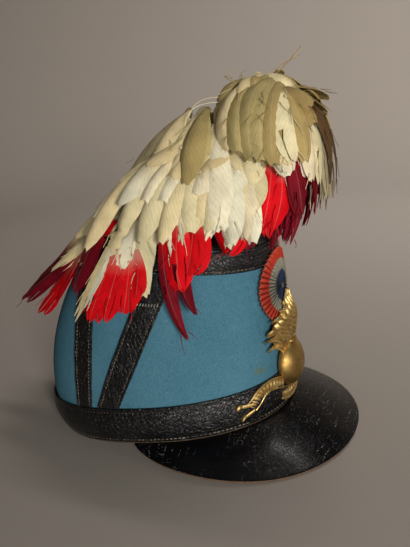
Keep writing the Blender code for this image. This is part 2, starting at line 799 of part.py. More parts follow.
def make_mantle(collection, parent):
    """The broad feathers that arch back over the crown and fall to its edge."""
    locks = (
        {"turn": 8, "reach": 0.50, "fall": 0.34, "arch": 0.64, "lift": 0.28, "width": 1.00},
        {"turn": 28, "reach": 0.44, "fall": 0.45, "arch": 0.80, "lift": 0.25, "width": 1.00},
        {"turn": 48, "reach": 0.39, "fall": 0.58, "arch": 0.88, "lift": 0.14, "width": 1.00},
        {"turn": 74, "reach": 0.28, "fall": 0.52, "arch": 0.95, "lift": 0.06, "width": 0.90},
    )
    make_locks("mantle", locks, MANTLE_ROOT_RISE, PLUME_BACK_REACH, PLUME_FALL, collection, parent)


def make_tail(collection, parent):
    """The long feathers below them, which pass the back and the sides of the body."""
    locks = (
        {"turn": 4, "reach": 1.00, "fall": 0.80, "arch": 0.50, "lift": 0.04, "width": 0.65},
        {"turn": 13, "reach": 0.84, "fall": 0.92, "arch": 0.60, "lift": 0.28, "width": 0.70},
        {"turn": 23, "reach": 0.70, "fall": 0.90, "arch": 0.72, "lift": 0.40, "width": 0.75},
        {"turn": 34, "reach": 0.54, "fall": 0.86, "arch": 0.86, "lift": 0.30, "width": 0.75},
        {"turn": 44, "reach": 0.45, "fall": 0.82, "arch": 0.95, "lift": 0.20, "width": 0.75},
        {"turn": 54, "reach": 0.39, "fall": 0.98, "arch": 1.00, "lift": 0.12, "width": 0.60},
    )
    make_locks("tail", locks, TAIL_ROOT_RISE, PLUME_BACK_REACH, PLUME_FALL, collection, parent)


def keep_outer_skin(form):
    """Fills the pockets that are shut in between the locks, and closes the pinholes that welding leaves."""
    bmesh.ops.remove_doubles(form, verts=form.verts, dist=WELD)
    bmesh.ops.dissolve_degenerate(form, edges=form.edges, dist=WELD)
    unseen = set(form.verts)
    skins = []
    while unseen:
        reached = [unseen.pop()]
        for corner in reached:
            for edge in corner.link_edges:
                other = edge.other_vert(corner)
                if other in unseen:
                    unseen.remove(other)
                    reached.append(other)
        skins.append(reached)
    skins.sort(key=len)
    for skin in skins[:-1]:
        bmesh.ops.delete(form, geom=skin, context="VERTS")
    bmesh.ops.holes_fill(form, edges=[edge for edge in form.edges if len(edge.link_faces) == 1])
    strays = [edge for edge in form.edges if not edge.link_faces]
    bmesh.ops.delete(form, geom=strays, context="EDGES")


def make_stem(collection, parent):
    """The plume's stem: straight in its holder, then bent forward to the head."""
    foot, axis = holder_foot()
    head = plume_head()
    start = foot + axis * (PLUME_HOLDER_FLOOR + GAP)
    mouth = foot + axis * (PLUME_HOLDER_HEIGHT + GAP)
    bend = foot + axis * PLUME_HOLDER_HEIGHT * 2
    stem = bpy.data.curves.new("plume_stem", "CURVE")
    stem.dimensions = "3D"
    stem.bevel_depth = PLUME_STEM_RADIUS
    stem.bevel_resolution = 2
    stem.use_fill_caps = True
    line = stem.splines.new("POLY")
    line.points.add(STEM_STATIONS - 1)
    line.points[0].co = (*start, 1)
    for index in range(1, STEM_STATIONS):
        share = (index - 1) / (STEM_STATIONS - 2)
        spot = mouth * (1 - share) ** 2 + bend * 2 * share * (1 - share) + head * share ** 2
        line.points[index].co = (*spot, 1)
    drawn = bpy.data.objects.new("plume_stem_curve", stem)
    bpy.context.scene.collection.objects.link(drawn)
    graph = bpy.context.evaluated_depsgraph_get()
    form = bmesh.new()
    form.from_mesh(bpy.data.meshes.new_from_object(drawn.evaluated_get(graph)))
    bmesh.ops.remove_doubles(form, verts=form.verts, dist=WELD)
    bpy.data.objects.remove(drawn)
    add_helper("plume_stem", finish_mesh("plume_stem", form), collection, parent)


def make_plume(collection, pieces, parent, finish):
    """The plume: a stem and a head, with locks of feathers that spring from it."""
    head = plume_head()

    def place(x, y, z):
        return head + Vector((x, y, z)) * PLUME_HEAD_RADIUS * HEAD_CORE

    plume = add_object("plume", finish_mesh("plume", stretched_ball(HEAD_SIDES, HEAD_RINGS, place)),
                       collection, parent, finish)
    make_stem(pieces, parent)
    make_tuft(pieces, parent)
    make_mantle(pieces, parent)
    make_tail(pieces, parent)
    join_with(plume, pieces)
    bpy.context.view_layer.update()
    graph = bpy.context.evaluated_depsgraph_get()
    fused = bpy.data.meshes.new_from_object(plume.evaluated_get(graph))
    plume.modifiers.clear()
    form = bmesh.new()
    form.from_mesh(fused)
    keep_outer_skin(form)
    plume.data = finish_mesh("plume", form)
    give_finish(plume.data, finish)


def set_down(parent, collection):
    """Tilts the hat to its rest, and puts the middle of its box's underside at the origin."""
    parent.rotation_euler.x = -rest_tilt()
    bpy.context.view_layer.update()
    graph = bpy.context.evaluated_depsgraph_get()
    low = Vector((math.inf, math.inf, math.inf))
    high = -low
    for thing in collection.objects:
        mesh = thing.evaluated_get(graph).to_mesh()
        for corner in mesh.vertices:
            place = thing.matrix_world @ corner.co
            low = Vector(map(min, low, place))
            high = Vector(map(max, high, place))
        thing.evaluated_get(graph).to_mesh_clear()
    parent.location = Vector((-(low.x + high.x) / 2, -(low.y + high.y) / 2, -low.z))


def main():
    for thing in list(bpy.data.objects):
        bpy.data.objects.remove(thing)
    collections = {}
    for name in ("shako_hat", "cutters", "badge_pieces", "plume_pieces"):
        collections[name] = bpy.data.collections.new(name)
        bpy.context.scene.collection.children.link(collections[name])
    hat = collections["shako_hat"]
    cutters = collections["cutters"]
    parent = bpy.data.objects.new("hat_at_rest", None)
    bpy.context.scene.collection.objects.link(parent)

    blue_cloth = material("blue_cloth", (0.063, 0.181, 0.254), 0.95)
    black_leather = material("black_leather", (0.010, 0.010, 0.011), 0.45)
    patent_leather = material("patent_leather", (0.006, 0.006, 0.007), 0.22)
    crown_leather = material("crown_leather", (0.055, 0.053, 0.050), 0.50)
    pleated_ribbon = material("pleated_ribbon", (0.55, 0.08, 0.06), 0.85)
    brass = material("brass", (0.46, 0.29, 0.09), 0.38, 1.0)
    cream_feather = material("cream_feather", (0.72, 0.66, 0.48), 0.80)

    trimmers = make_trimmers(cutters, parent)
    make_body(hat, parent, trimmers, blue_cloth)
    make_bands(hat, parent, trimmers, black_leather)
    make_crown(hat, parent, crown_leather)
    make_straps(hat, parent, black_leather)
    make_peak(hat, parent, patent_leather)
    make_cockade(hat, parent, pleated_ribbon)
    make_badge(hat, collections["badge_pieces"], parent, brass)
    make_plume_holder(hat, cutters, parent, black_leather)
    make_plume(hat, collections["plume_pieces"], parent, cream_feather)
    set_down(parent, hat)


main()
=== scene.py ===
# %% [markdown]
# # A shako hat with a drooping feather plume
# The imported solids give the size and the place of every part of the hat.
# This lesson dresses them: cloth, leather, stitches, a pleated cockade, stamped brass and feathers.
# Each step says what the piece is on the real hat, how it could be made, and why this way was chosen.

import math
import random

import bpy
import numpy as np
from mathutils import Matrix, Vector


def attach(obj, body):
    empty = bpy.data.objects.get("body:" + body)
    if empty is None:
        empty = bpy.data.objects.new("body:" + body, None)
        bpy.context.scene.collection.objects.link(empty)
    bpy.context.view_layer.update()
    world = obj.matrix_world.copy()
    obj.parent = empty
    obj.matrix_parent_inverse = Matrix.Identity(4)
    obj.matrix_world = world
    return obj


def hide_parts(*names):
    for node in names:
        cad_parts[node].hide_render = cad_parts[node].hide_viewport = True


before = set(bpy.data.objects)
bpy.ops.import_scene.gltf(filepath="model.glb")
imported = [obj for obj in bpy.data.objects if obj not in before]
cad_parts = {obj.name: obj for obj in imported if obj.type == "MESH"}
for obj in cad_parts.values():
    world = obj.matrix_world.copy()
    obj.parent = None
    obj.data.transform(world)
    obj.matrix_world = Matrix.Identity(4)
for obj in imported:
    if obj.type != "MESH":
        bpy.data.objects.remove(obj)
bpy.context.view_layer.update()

# %% [markdown]
# ## The hat's own frame
# It is easier to shape a hat with its rim level. The real one rests on the back of its rim and on the
# edge of its peak, so it leans back. Pieces are drawn level, and this matrix lays each one down.

# %% The matrix that lays a level piece down
REST_TILT = math.radians(7.0236)
REST_SHIFT = Vector((0.0, 0.002156, 0.011719))
HAT = Matrix.Translation(REST_SHIFT) @ Matrix.Rotation(-REST_TILT, 4, "X")
print("The rim leans back by", round(math.degrees(REST_TILT), 2), "degrees")

# %% [markdown]
# ## The camera
# The photo looks at the hat's right side and a little down on it, from about half a metre.
# The view is held in the hat's frame, so that the camera leans with the hat.

# %% Camera
VIEW_TURN = math.radians(64.5)
VIEW_RISE = math.radians(13.52)
VIEW_ROLL = math.radians(-10.97)
VIEW_DISTANCE = 0.4795
VIEW_TARGET = Vector((0.0, -0.04584, 0.10348))
SENSOR_HEIGHT = 36.0
LENS = 40.28

back = Vector((-math.sin(VIEW_TURN) * math.cos(VIEW_RISE),
               -math.cos(VIEW_TURN) * math.cos(VIEW_RISE), math.sin(VIEW_RISE)))
level_right = (-back).cross(Vector((0, 0, 1))).normalized()
level_up = back.cross(level_right)
right = level_right * math.cos(VIEW_ROLL) + level_up * math.sin(VIEW_ROLL)
up = level_up * math.cos(VIEW_ROLL) - level_right * math.sin(VIEW_ROLL)
spot = VIEW_TARGET + back * VIEW_DISTANCE

camera = bpy.data.objects.new("camera", bpy.data.cameras.new("camera"))
bpy.context.scene.collection.objects.link(camera)
camera.data.sensor_fit = "VERTICAL"
camera.data.sensor_height = SENSOR_HEIGHT
camera.data.lens = LENS
camera.matrix_world = HAT @ Matrix((
    (right.x, up.x, back.x, spot.x),
    (right.y, up.y, back.y, spot.y),
    (right.z, up.z, back.z, spot.z),
    (0, 0, 0, 1),
))
bpy.context.scene.camera = camera
print("The camera stands at", [round(value, 3) for value in camera.matrix_world.translation])

# %% [markdown]
# ## Helpers for modelling
# Each piece starts as one of Blender's primitives. An operator works on all that is selected,
# so everything is deselected first.

# %% Selecting and starting a piece
def nothing_selected():
    """Leaves edit mode and deselects every object."""
    if bpy.context.mode != "OBJECT":
        bpy.ops.object.mode_set(mode="OBJECT")
    bpy.ops.object.select_all(action="DESELECT")


def only(piece):
    """Selects one piece and makes it active."""
    nothing_selected()
    piece.select_set(True)
    bpy.context.view_layer.objects.active = piece


def new_grid(name, columns, rows):
    """A flat grid primitive, whose corners run from 0 to 1 across and up."""
    nothing_selected()
    bpy.ops.mesh.primitive_grid_add(x_subdivisions=columns, y_subdivisions=rows, size=1,
                                    location=(0.5, 0.5, 0))
    bpy.ops.object.transform_apply(location=True, rotation=True, scale=True)
    piece = bpy.context.object
    piece.name = name
    return piece


def corners_of(piece):
    """The corners of a piece as an array."""
    found = np.zeros(len(piece.data.vertices) * 3)
    piece.data.vertices.foreach_get("co", found)
    return found.reshape(-1, 3)


def put_corners(piece, places):
    """Writes an array of corners back."""
    piece.data.vertices.foreach_set("co", np.asarray(places, float).ravel())
    piece.data.update()


# %% Editing and finishing a piece
def select_corners(piece, chosen):
    """Selects the corners for which chosen(corner) holds, and goes to edit mode."""
    only(piece)
    bpy.ops.object.mode_set(mode="EDIT")
    bpy.ops.mesh.select_mode(type="VERT")
    bpy.ops.mesh.select_all(action="DESELECT")
    bpy.ops.object.mode_set(mode="OBJECT")
    for corner in piece.data.vertices:
        corner.select = bool(chosen(corner.co))
    bpy.ops.object.mode_set(mode="EDIT")


def merge_doubles(piece):
    """Closes a seam whose two edges lie on each other."""
    only(piece)
    bpy.ops.object.mode_set(mode="EDIT")
    bpy.ops.mesh.select_all(action="SELECT")
    bpy.ops.mesh.remove_doubles(threshold=0.000002)
    bpy.ops.object.mode_set(mode="OBJECT")


def face_outward(piece):
    """Turns the faces of a closed piece outward."""
    only(piece)
    bpy.ops.object.mode_set(mode="EDIT")
    bpy.ops.mesh.select_all(action="SELECT")
    bpy.ops.mesh.normals_make_consistent(inside=False)
    bpy.ops.object.mode_set(mode="OBJECT")


def face_along(piece, outward):
    """Flips an open sheet whose faces look away from a direction."""
    only(piece)
    total = Vector((0, 0, 0))
    for face in piece.data.polygons:
        total += face.normal * face.area
    if total.dot(Vector(outward)) < 0:
        bpy.ops.object.mode_set(mode="EDIT")
        bpy.ops.mesh.select_all(action="SELECT")
        bpy.ops.mesh.flip_normals()
        bpy.ops.object.mode_set(mode="OBJECT")


def give_wall(piece, thickness, side, edge_round=0.0, rim_material=0):
    """Gives a sheet its thickness, outward for side 1 and inward for side -1, and rounds its edges."""
    only(piece)
    wall = piece.modifiers.new("wall", "SOLIDIFY")
    wall.thickness = thickness
    wall.offset = side
    wall.material_offset_rim = rim_material
    bpy.ops.object.modifier_apply(modifier=wall.name)
    if edge_round:
        rounding = piece.modifiers.new("edges", "BEVEL")
        rounding.width = edge_round
        rounding.segments = 3
        rounding.limit_method = "ANGLE"
        rounding.angle_limit = math.radians(50)
        bpy.ops.object.modifier_apply(modifier=rounding.name)


def finish_piece(piece, nodes=(), smooth=40):
    """Lays a level piece down, smooths it, and hands it to the frame."""
    only(piece)
    piece.matrix_world = HAT
    bpy.ops.object.transform_apply(location=True, rotation=True, scale=True)
    bpy.ops.object.shade_smooth_by_angle(angle=math.radians(smooth))
    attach(piece, "root")
    if nodes:
        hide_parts(*nodes)
    faces = sum(len(face.vertices) - 2 for face in piece.data.polygons)
    size = [round(value * 1000) for value in piece.dimensions]
    print(piece.name, "has", faces, "triangles and is", size, "mm")


def joined(name, pieces):
    """Joins copies into one piece."""
    nothing_selected()
    for piece in pieces:
        piece.select_set(True)
    bpy.context.view_layer.objects.active = pieces[0]
    bpy.ops.object.join()
    whole = bpy.context.object
    whole.name = name
    return whole


# %% [markdown]
# ## Helpers for materials
# A procedural material is a small graph of nodes. These helpers add one node each, so that
# each finish below reads as a short recipe. Patterns read the Object coordinates or the piece's UV map.

# %% Adding nodes
def new_material(name, roughness, metallic=0.0):
    """A material with its Principled shader."""
    made = bpy.data.materials.new(name)
    made.use_nodes = True
    shader = made.node_tree.nodes["Principled BSDF"]
    shader.inputs["Roughness"].default_value = roughness
    shader.inputs["Metallic"].default_value = metallic
    return made, made.node_tree, shader


def plug(tree, source, target):
    """Links a socket, or sets a plain value."""
    if isinstance(source, bpy.types.NodeSocket):
        tree.links.new(source, target)
    else:
        target.default_value = source


def object_place(tree, scale=(1, 1, 1)):
    """Object coordinates, stretched by a scale."""
    place = tree.nodes.new("ShaderNodeTexCoord")
    mapping = tree.nodes.new("ShaderNodeMapping")
    mapping.inputs["Scale"].default_value = scale
    tree.links.new(place.outputs["Object"], mapping.inputs["Vector"])
    return mapping.outputs["Vector"]


def sheet_place(tree):
    """The across and up shares of the piece's UV map."""
    place = tree.nodes.new("ShaderNodeTexCoord")
    split = tree.nodes.new("ShaderNodeSeparateXYZ")
    tree.links.new(place.outputs["UV"], split.inputs["Vector"])
    return place.outputs["UV"], split.outputs["X"], split.outputs["Y"]


def noise(tree, place, scale, detail=4.0, roughness=0.55, distortion=0.0):
    """Cloudy noise from 0 to 1."""
    node = tree.nodes.new("ShaderNodeTexNoise")
    tree.links.new(place, node.inputs["Vector"])
    node.inputs["Scale"].default_value = scale
    node.inputs["Detail"].default_value = detail
    node.inputs["Roughness"].default_value = roughness
    node.inputs["Distortion"].default_value = distortion
    return node.outputs["Fac"]


def cells(tree, place, scale, feature="DISTANCE_TO_EDGE", randomness=1.0):
    """Voronoi cells: by default the distance to the nearest cell edge."""
    node = tree.nodes.new("ShaderNodeTexVoronoi")
    node.feature = feature
    tree.links.new(place, node.inputs["Vector"])
    node.inputs["Scale"].default_value = scale
    node.inputs["Randomness"].default_value = randomness
    return node.outputs["Distance"]


def ramp(tree, factor, *stops):
    """A colour ramp. Each stop is a place and a grey or a colour."""
    node = tree.nodes.new("ShaderNodeValToRGB")
    tree.links.new(factor, node.inputs["Fac"])
    spots = node.color_ramp.elements
    while len(spots) < len(stops):
        spots.new(1.0)
    for spot_on_ramp, (share, colour) in zip(spots, stops):
        spot_on_ramp.position = share
        if isinstance(colour, (int, float)):
            colour = (colour, colour, colour)
        spot_on_ramp.color = (*colour, 1.0)
    return node.outputs["Color"]


def mixed(tree, factor, low, high, blend="MIX"):
    """Two colours mixed by a factor."""
    node = tree.nodes.new("ShaderNodeMix")
    node.data_type = "RGBA"
    node.blend_type = blend
    plug(tree, factor, node.inputs[0])
    for value, socket in ((low, node.inputs[6]), (high, node.inputs[7])):
        if isinstance(value, tuple):
            value = (*value, 1.0)
        plug(tree, value, socket)
    return node.outputs[2]


def maths(tree, operation, first, second=0.0):
    """One sum on one or two values."""
    node = tree.nodes.new("ShaderNodeMath")
    node.operation = operation
    plug(tree, first, node.inputs[0])
    plug(tree, second, node.inputs[1])
    return node.outputs[0]


def raised(tree, shader, height, distance, strength=1.0, under=None):
    """A bump, laid over another one if that is given."""
    node = tree.nodes.new("ShaderNodeBump")
    node.inputs["Distance"].default_value = distance
    node.inputs["Strength"].default_value = strength
    tree.links.new(height, node.inputs["Height"])
    if under:
        tree.links.new(under, node.inputs["Normal"])
    tree.links.new(node.outputs["Normal"], shader.inputs["Normal"])
    return node.outputs["Normal"]


# %% [markdown]
# ## Cloth
# The body is covered with fulled wool: a matt sky blue with a short nap, in which the weave hardly
# shows. Fine noise lightens and darkens the nap, a broad noise fades it, and one yellow-green spot
# near the badge follows the photo.

# %% Wool
STAIN_SQUASH = 1.8


def make_wool():
    made, tree, shader = new_material("sky_blue_wool", 0.95)
    place = object_place(tree)
    nap = noise(tree, place, 1100, 3.0, 0.7)
    slub = noise(tree, object_place(tree, (1.0, 1.0, 0.5)), 760, 3.0, 0.6)
    fade = noise(tree, place, 22, 4.0)
    deep = ramp(tree, fade, (0.3, (0.034, 0.112, 0.158)), (0.72, (0.054, 0.150, 0.205)))
    light = mixed(tree, ramp(tree, nap, (0.42, 0.0), (0.75, 0.55)), deep, (0.115, 0.235, 0.300))
    dark = mixed(tree, ramp(tree, slub, (0.3, 0.4), (0.5, 0.0)), light, (0.018, 0.072, 0.110))
    spot_node = tree.nodes.new("ShaderNodeVectorMath")
    spot_node.operation = "DISTANCE"
    stain_place = HAT @ Vector((-0.0345, -0.0905, 0.0365))
    tree.links.new(object_place(tree, (1, 1, STAIN_SQUASH)), spot_node.inputs[0])
    spot_node.inputs[1].default_value = (stain_place.x, stain_place.y, stain_place.z * STAIN_SQUASH)
    rough_edge = maths(tree, "MULTIPLY", noise(tree, place, 320, 3.0), 0.008)
    distance = maths(tree, "ADD", spot_node.outputs["Value"], rough_edge)
    stain = ramp(tree, distance, (0.0060, 0.60), (0.0095, 0.0))
    plug(tree, mixed(tree, stain, dark, (0.110, 0.115, 0.022)), shader.inputs["Base Color"])
    shader.inputs["Specular IOR Level"].default_value = 0.10
    raised(tree, shader, nap, 0.00025, 0.8)
    return made


wool = make_wool()
print("Wool has", len(wool.node_tree.nodes), "nodes")

# %% [markdown]
# ## Leather
# Bands and straps are black waxed leather, creased finely all over and shiny where hands polish it.
# Small Voronoi cells give the grain, larger ones the creases, and a twisted noise the slow waves that
# break up a highlight. The peak is patent leather: a hard varnish with cracks, pale scratches and
# chains of worn dots. The crown is duller and greyer.

# %% Black leather
def make_leather(name, crease_scale, gloss, edge=None):
    made, tree, shader = new_material(name, 0.3)
    place = object_place(tree)
    grain = cells(tree, place, 1300)
    crease = cells(tree, place, crease_scale)
    wander = noise(tree, place, 120, 6.0, 0.68, 0.8)
    wear = noise(tree, place, 34, 6.0, 0.65)
    worn = ramp(tree, wear, (0.45, (0.0012, 0.0012, 0.0015)), (0.85, (0.005, 0.0045, 0.0045)))
    creased = mixed(tree, ramp(tree, crease, (0.0, 0.35), (0.06, 0.0)), worn, (0.012, 0.011, 0.010))
    if edge:
        _, _, high = sheet_place(tree)
        raw = ramp(tree, high, (0.0, 0.8), (edge, 0.0))
        creased = mixed(tree, raw, creased, (0.140, 0.095, 0.055))
    plug(tree, creased, shader.inputs["Base Color"])
    plug(tree, ramp(tree, wander, (0.3, gloss), (0.75, gloss + 0.16)), shader.inputs["Roughness"])
    shader.inputs["Specular IOR Level"].default_value = 0.40
    first = raised(tree, shader, ramp(tree, grain, (0.0, 0.0), (0.30, 1.0)), 0.00008, 0.6)
    second = raised(tree, shader, ramp(tree, crease, (0.0, 0.0), (0.12, 1.0)), 0.00030, 0.9, first)
    raised(tree, shader, wander, 0.0010, 1.0, second)
    return made


band_leather = make_leather("band_leather", 320, 0.15, 0.05)
strap_leather = make_leather("strap_leather", 340, 0.22)
top_leather = make_leather("top_band_leather", 480, 0.13)
print("Leather has", len(band_leather.node_tree.nodes), "nodes")


# %% Patent leather and its raw edge
def make_patent():
    made, tree, shader = new_material("patent_leather", 0.16)
    place = object_place(tree)
    haze = noise(tree, place, 16, 6.0, 0.6, 0.4)
    fine = cells(tree, place, 520)
    scuffs = noise(tree, object_place(tree, (1.0, 0.16, 1.0)), 900, 2.0, 0.5, 1.2)
    slants = noise(tree, object_place(tree, (0.20, 1.0, 1.0)), 820, 2.0, 0.5, 1.5)
    patches = noise(tree, place, 38, 3.0)
    where = ramp(tree, patches, (0.44, 0.0), (0.60, 1.0))
    short = maths(tree, "MAXIMUM", ramp(tree, scuffs, (0.66, 0.0), (0.71, 1.0)),
                  ramp(tree, slants, (0.67, 0.0), (0.72, 1.0)))
    scratched = maths(tree, "MULTIPLY", short, where)
    beads = ramp(tree, cells(tree, place, 1100, "F1"), (0.25, 1.0), (0.40, 0.0))
    wave = tree.nodes.new("ShaderNodeTexWave")
    tree.links.new(place, wave.inputs["Vector"])
    wave.wave_type = "RINGS"
    wave.inputs["Scale"].default_value = 60
    wave.inputs["Distortion"].default_value = 4
    wave.inputs["Detail"].default_value = 2
    chains = ramp(tree, wave.outputs["Fac"], (0.930, 0.0), (0.970, 1.0))
    far = ramp(tree, noise(tree, place, 26, 2.0), (0.50, 0.0), (0.56, 1.0))
    broken = ramp(tree, noise(tree, place, 110, 2.0, 0.6), (0.50, 0.0), (0.56, 1.0))
    dotted = maths(tree, "MULTIPLY", maths(tree, "MULTIPLY", chains, beads), broken)
    chained = maths(tree, "MULTIPLY", dotted, far)
    marks = maths(tree, "MAXIMUM", maths(tree, "MULTIPLY", scratched, 0.60), chained)
    base = ramp(tree, haze, (0.35, (0.0015, 0.0015, 0.002)), (0.8, (0.005, 0.0045, 0.004)))
    plug(tree, mixed(tree, maths(tree, "MULTIPLY", marks, 0.75), base, (0.300, 0.285, 0.270)),
         shader.inputs["Base Color"])
    gloss = ramp(tree, haze, (0.3, 0.16), (0.75, 0.34))
    plug(tree, mixed(tree, marks, gloss, (0.6, 0.6, 0.6)), shader.inputs["Roughness"])
    shader.inputs["Specular IOR Level"].default_value = 0.14
    first = raised(tree, shader, ramp(tree, fine, (0.0, 0.0), (0.10, 1.0)), 0.00006, 0.6)
    raised(tree, shader, haze, 0.0014, 0.5, first)
    return made


def make_raw_edge():
    made, tree, shader = new_material("raw_leather_edge", 0.7)
    place = object_place(tree)
    fibres = noise(tree, place, 600, 4.0, 0.7)
    plug(tree, ramp(tree, fibres, (0.3, (0.050, 0.026, 0.014)), (0.75, (0.210, 0.125, 0.070))),
         shader.inputs["Base Color"])
    raised(tree, shader, fibres, 0.0002, 0.7)
    return made


patent_leather = make_patent()
raw_edge = make_raw_edge()
print("Patent leather has", len(patent_leather.node_tree.nodes), "nodes")


# %% Crown leather and thread
def make_crown_leather():
    made, tree, shader = new_material("crown_leather", 0.5)
    place = object_place(tree)
    dust = noise(tree, place, 40, 6.0, 0.65)
    grain = cells(tree, place, 900)
    plug(tree, ramp(tree, dust, (0.35, (0.018, 0.017, 0.016)), (0.75, (0.085, 0.080, 0.072))),
         shader.inputs["Base Color"])
    plug(tree, ramp(tree, dust, (0.3, 0.38), (0.7, 0.62)), shader.inputs["Roughness"])
    first = raised(tree, shader, ramp(tree, grain, (0.0, 0.0), (0.2, 1.0)), 0.00012, 0.6)
    raised(tree, shader, dust, 0.0012, 0.7, first)
    return made


def make_thread(name, dark, light):
    made, tree, shader = new_material(name, 0.8)
    place = object_place(tree)
    wear = noise(tree, place, 150, 3.0)
    plug(tree, ramp(tree, wear, (0.38, dark), (0.62, light)), shader.inputs["Base Color"])
    raised(tree, shader, noise(tree, place, 4000, 2.0), 0.0001, 0.6)
    return made


crown_leather = make_crown_leather()
tan_thread = make_thread("waxed_tan_thread", (0.020, 0.016, 0.012), (0.260, 0.205, 0.140))
black_thread = make_thread("waxed_black_thread", (0.008, 0.008, 0.008), (0.060, 0.050, 0.042))
white_thread = make_thread("white_thread", (0.150, 0.140, 0.120), (0.550, 0.520, 0.450))
print("Thread has", len(tan_thread.node_tree.nodes), "nodes")

# %% [markdown]
# ## The hatter's block
# A hatter stretches the felt over a wooden block. Here the block is a formula with the same named
# sizes as the solids: an oval for each height, squared off a little, and cut by a slanting crown.
# Every sewn piece is a flat grid that is wrapped on the block, so that all of them fit each other.

# %% Sizes of the block
RIM_FRONT = 0.0980
RIM_BACK = 0.0980
RIM_HALF_WIDTH = 0.0780
WAIST_HEIGHT = 0.0450
WAIST_BACK = 0.0981
WAIST_HALF_WIDTH = 0.0767
TOP_FRONT = 0.1030
TOP_BACK = 0.0275
TOP_HALF_WIDTH = 0.0565
FRONT_HEIGHT = 0.1235
BACK_HEIGHT = 0.1530
RIM_TUCK = 0.0040
RIM_TUCK_HEIGHT = 0.0300
OVAL_POWER = 2.3
FRONT_NARROWING = 0.06
BODY_WALL = 0.0026
GAP = 0.0003
STRAP_GAP = 0.0006
BAND_LEATHER = 0.0017
BASE_BAND_HEIGHT = 0.0275
TOP_BAND_HEIGHT = 0.0143


# %% The block's wall
def between(low, high, share):
    return low + (high - low) * share


def through_three(height, middle, end, low, centre, high):
    """A parabola through low at height 0, centre at middle and high at end."""
    rise = (high - low) / end
    bend = ((centre - low) / middle - rise) / (middle - end)
    return low + rise * height + bend * height * (height - end)


def signed_power(value, power):
    return np.sign(value) * np.abs(value) ** power


def body_back(height):
    wall = through_three(height, WAIST_HEIGHT, BACK_HEIGHT, RIM_BACK, WAIST_BACK, TOP_BACK)
    return wall - RIM_TUCK * np.maximum(0.0, 1.0 - height / RIM_TUCK_HEIGHT) ** 2


def body_front(height):
    return between(RIM_FRONT, TOP_FRONT, height / FRONT_HEIGHT)


def body_half_width(height):
    top = (FRONT_HEIGHT + BACK_HEIGHT) / 2
    return through_three(height, WAIST_HEIGHT, top, RIM_HALF_WIDTH, WAIST_HALF_WIDTH, TOP_HALF_WIDTH)


def crown_height(forward):
    """Height of the slanting plane at which the body ends."""
    return between(FRONT_HEIGHT, BACK_HEIGHT, (TOP_FRONT - forward) / (TOP_FRONT + TOP_BACK))


def wall_point(turn, height):
    """The cloth's outer face: turn 0 is the front, and a quarter turn the wearer's left."""
    turn, height = np.broadcast_arrays(np.asarray(turn, float), np.asarray(height, float))
    along = signed_power(np.cos(turn), 2 / OVAL_POWER)
    across = signed_power(np.sin(turn), 2 / OVAL_POWER) * (1 - FRONT_NARROWING * along)
    front = body_front(height)
    behind = body_back(height)
    forward = (front - behind) / 2 + (front + behind) / 2 * along
    return np.stack([body_half_width(height) * across, -forward, height], axis=-1)


def unit(vectors):
    return vectors / np.linalg.norm(vectors, axis=-1, keepdims=True)


def wall_normal(turn, height):
    """The outward direction of the cloth's outer face."""
    turn = np.asarray(turn, float)
    height = np.asarray(height, float)
    step_turn = math.radians(0.5)
    step_height = 0.0005
    along = wall_point(turn + step_turn, height) - wall_point(turn - step_turn, height)
    rise = wall_point(turn, height + step_height) - wall_point(turn, height - step_height)
    return unit(np.cross(along, rise))


def on_wall(turn, height, stand_off=0.0):
    """Points that stand off from the cloth's outer face."""
    away = np.asarray(stand_off, float)[..., None]
    return wall_point(turn, height) + wall_normal(turn, height) * away


def top_edge_height(turn):
    """Height of the body's top edge at a turn."""
    height = np.full_like(np.asarray(turn, float), FRONT_HEIGHT)
    for _ in range(12):
        height = crown_height(-wall_point(turn, height)[..., 1])
    return height


print("The rim is", round(2 * RIM_HALF_WIDTH * 1000), "mm wide and",
      round((RIM_FRONT + RIM_BACK) * 1000), "mm long")


# %% Wrapping a grid on the block
def wrapped(name, columns, rows, place, closed):
    """A grid primitive carried to place(across, up), both from 0 to 1."""
    piece = new_grid(name, columns, rows)
    flat = corners_of(piece)
    put_corners(piece, place(flat[:, 0], flat[:, 1]))
    if closed:
        merge_doubles(piece)
    return piece


# %% [markdown]
# ## The body
# The wall is felt covered with wool cloth, open below for the head. It could be a cylinder scaled ring
# by ring, but its oval changes with height. So one grid is wrapped all round the block, which fits the
# bands and straps with no gap, and Solidify gives it its thickness on the inside.

# %% Body
BODY_COLUMNS = 144
BODY_ROWS = 24


def body_place(across, up):
    turn = across * 2 * math.pi
    height = between(0.0, top_edge_height(turn), up)
    return on_wall(turn, height)


body = wrapped("cloth_body", BODY_COLUMNS, BODY_ROWS, body_place, True)
body.data.materials.append(wool)
give_wall(body, BODY_WALL, -1, 0.0005)
finish_piece(body, ["body_shell"])

# %% [markdown]
# ## The bands
# Two leather bands hold the wall: a broad one round the rim and a narrow one round the top. Their
# edges are turned and sewn, so a low bead runs above a stitched channel, and between its seams each
# band bulges a little. A bump in the material could draw them, but they are in the shape, since they
# show in the outline and catch the light.

# %% Bands
BAND_COLUMNS = 240
BAND_ROWS = 26
BEAD_HEIGHT = 0.00045
CHANNEL_DEPTH = 0.00035
UNDULATION = 0.00022
BASE_BAND_BULGE = 0.0022
TOP_BAND_BULGE = 0.0009
BASE_UPPER_SEAM = 0.885
BASE_LOWER_SEAM = 0.105


def bump_at(share, centre, width):
    """A soft rise around a place."""
    return np.exp(-((share - centre) / width) ** 2)


def band_relief(turn, share, beads, channels):
    """How far the band's face stands proud: beads and channels at shares of its height."""
    relief = UNDULATION * np.sin(turn * 9 + 2 * np.sin(turn * 5)) * np.sin(share * 5 + turn * 3)
    for centre in beads:
        relief = relief + BEAD_HEIGHT * bump_at(share, centre, 0.035)
    for centre in channels:
        relief = relief - CHANNEL_DEPTH * bump_at(share, centre, 0.03)
    return relief


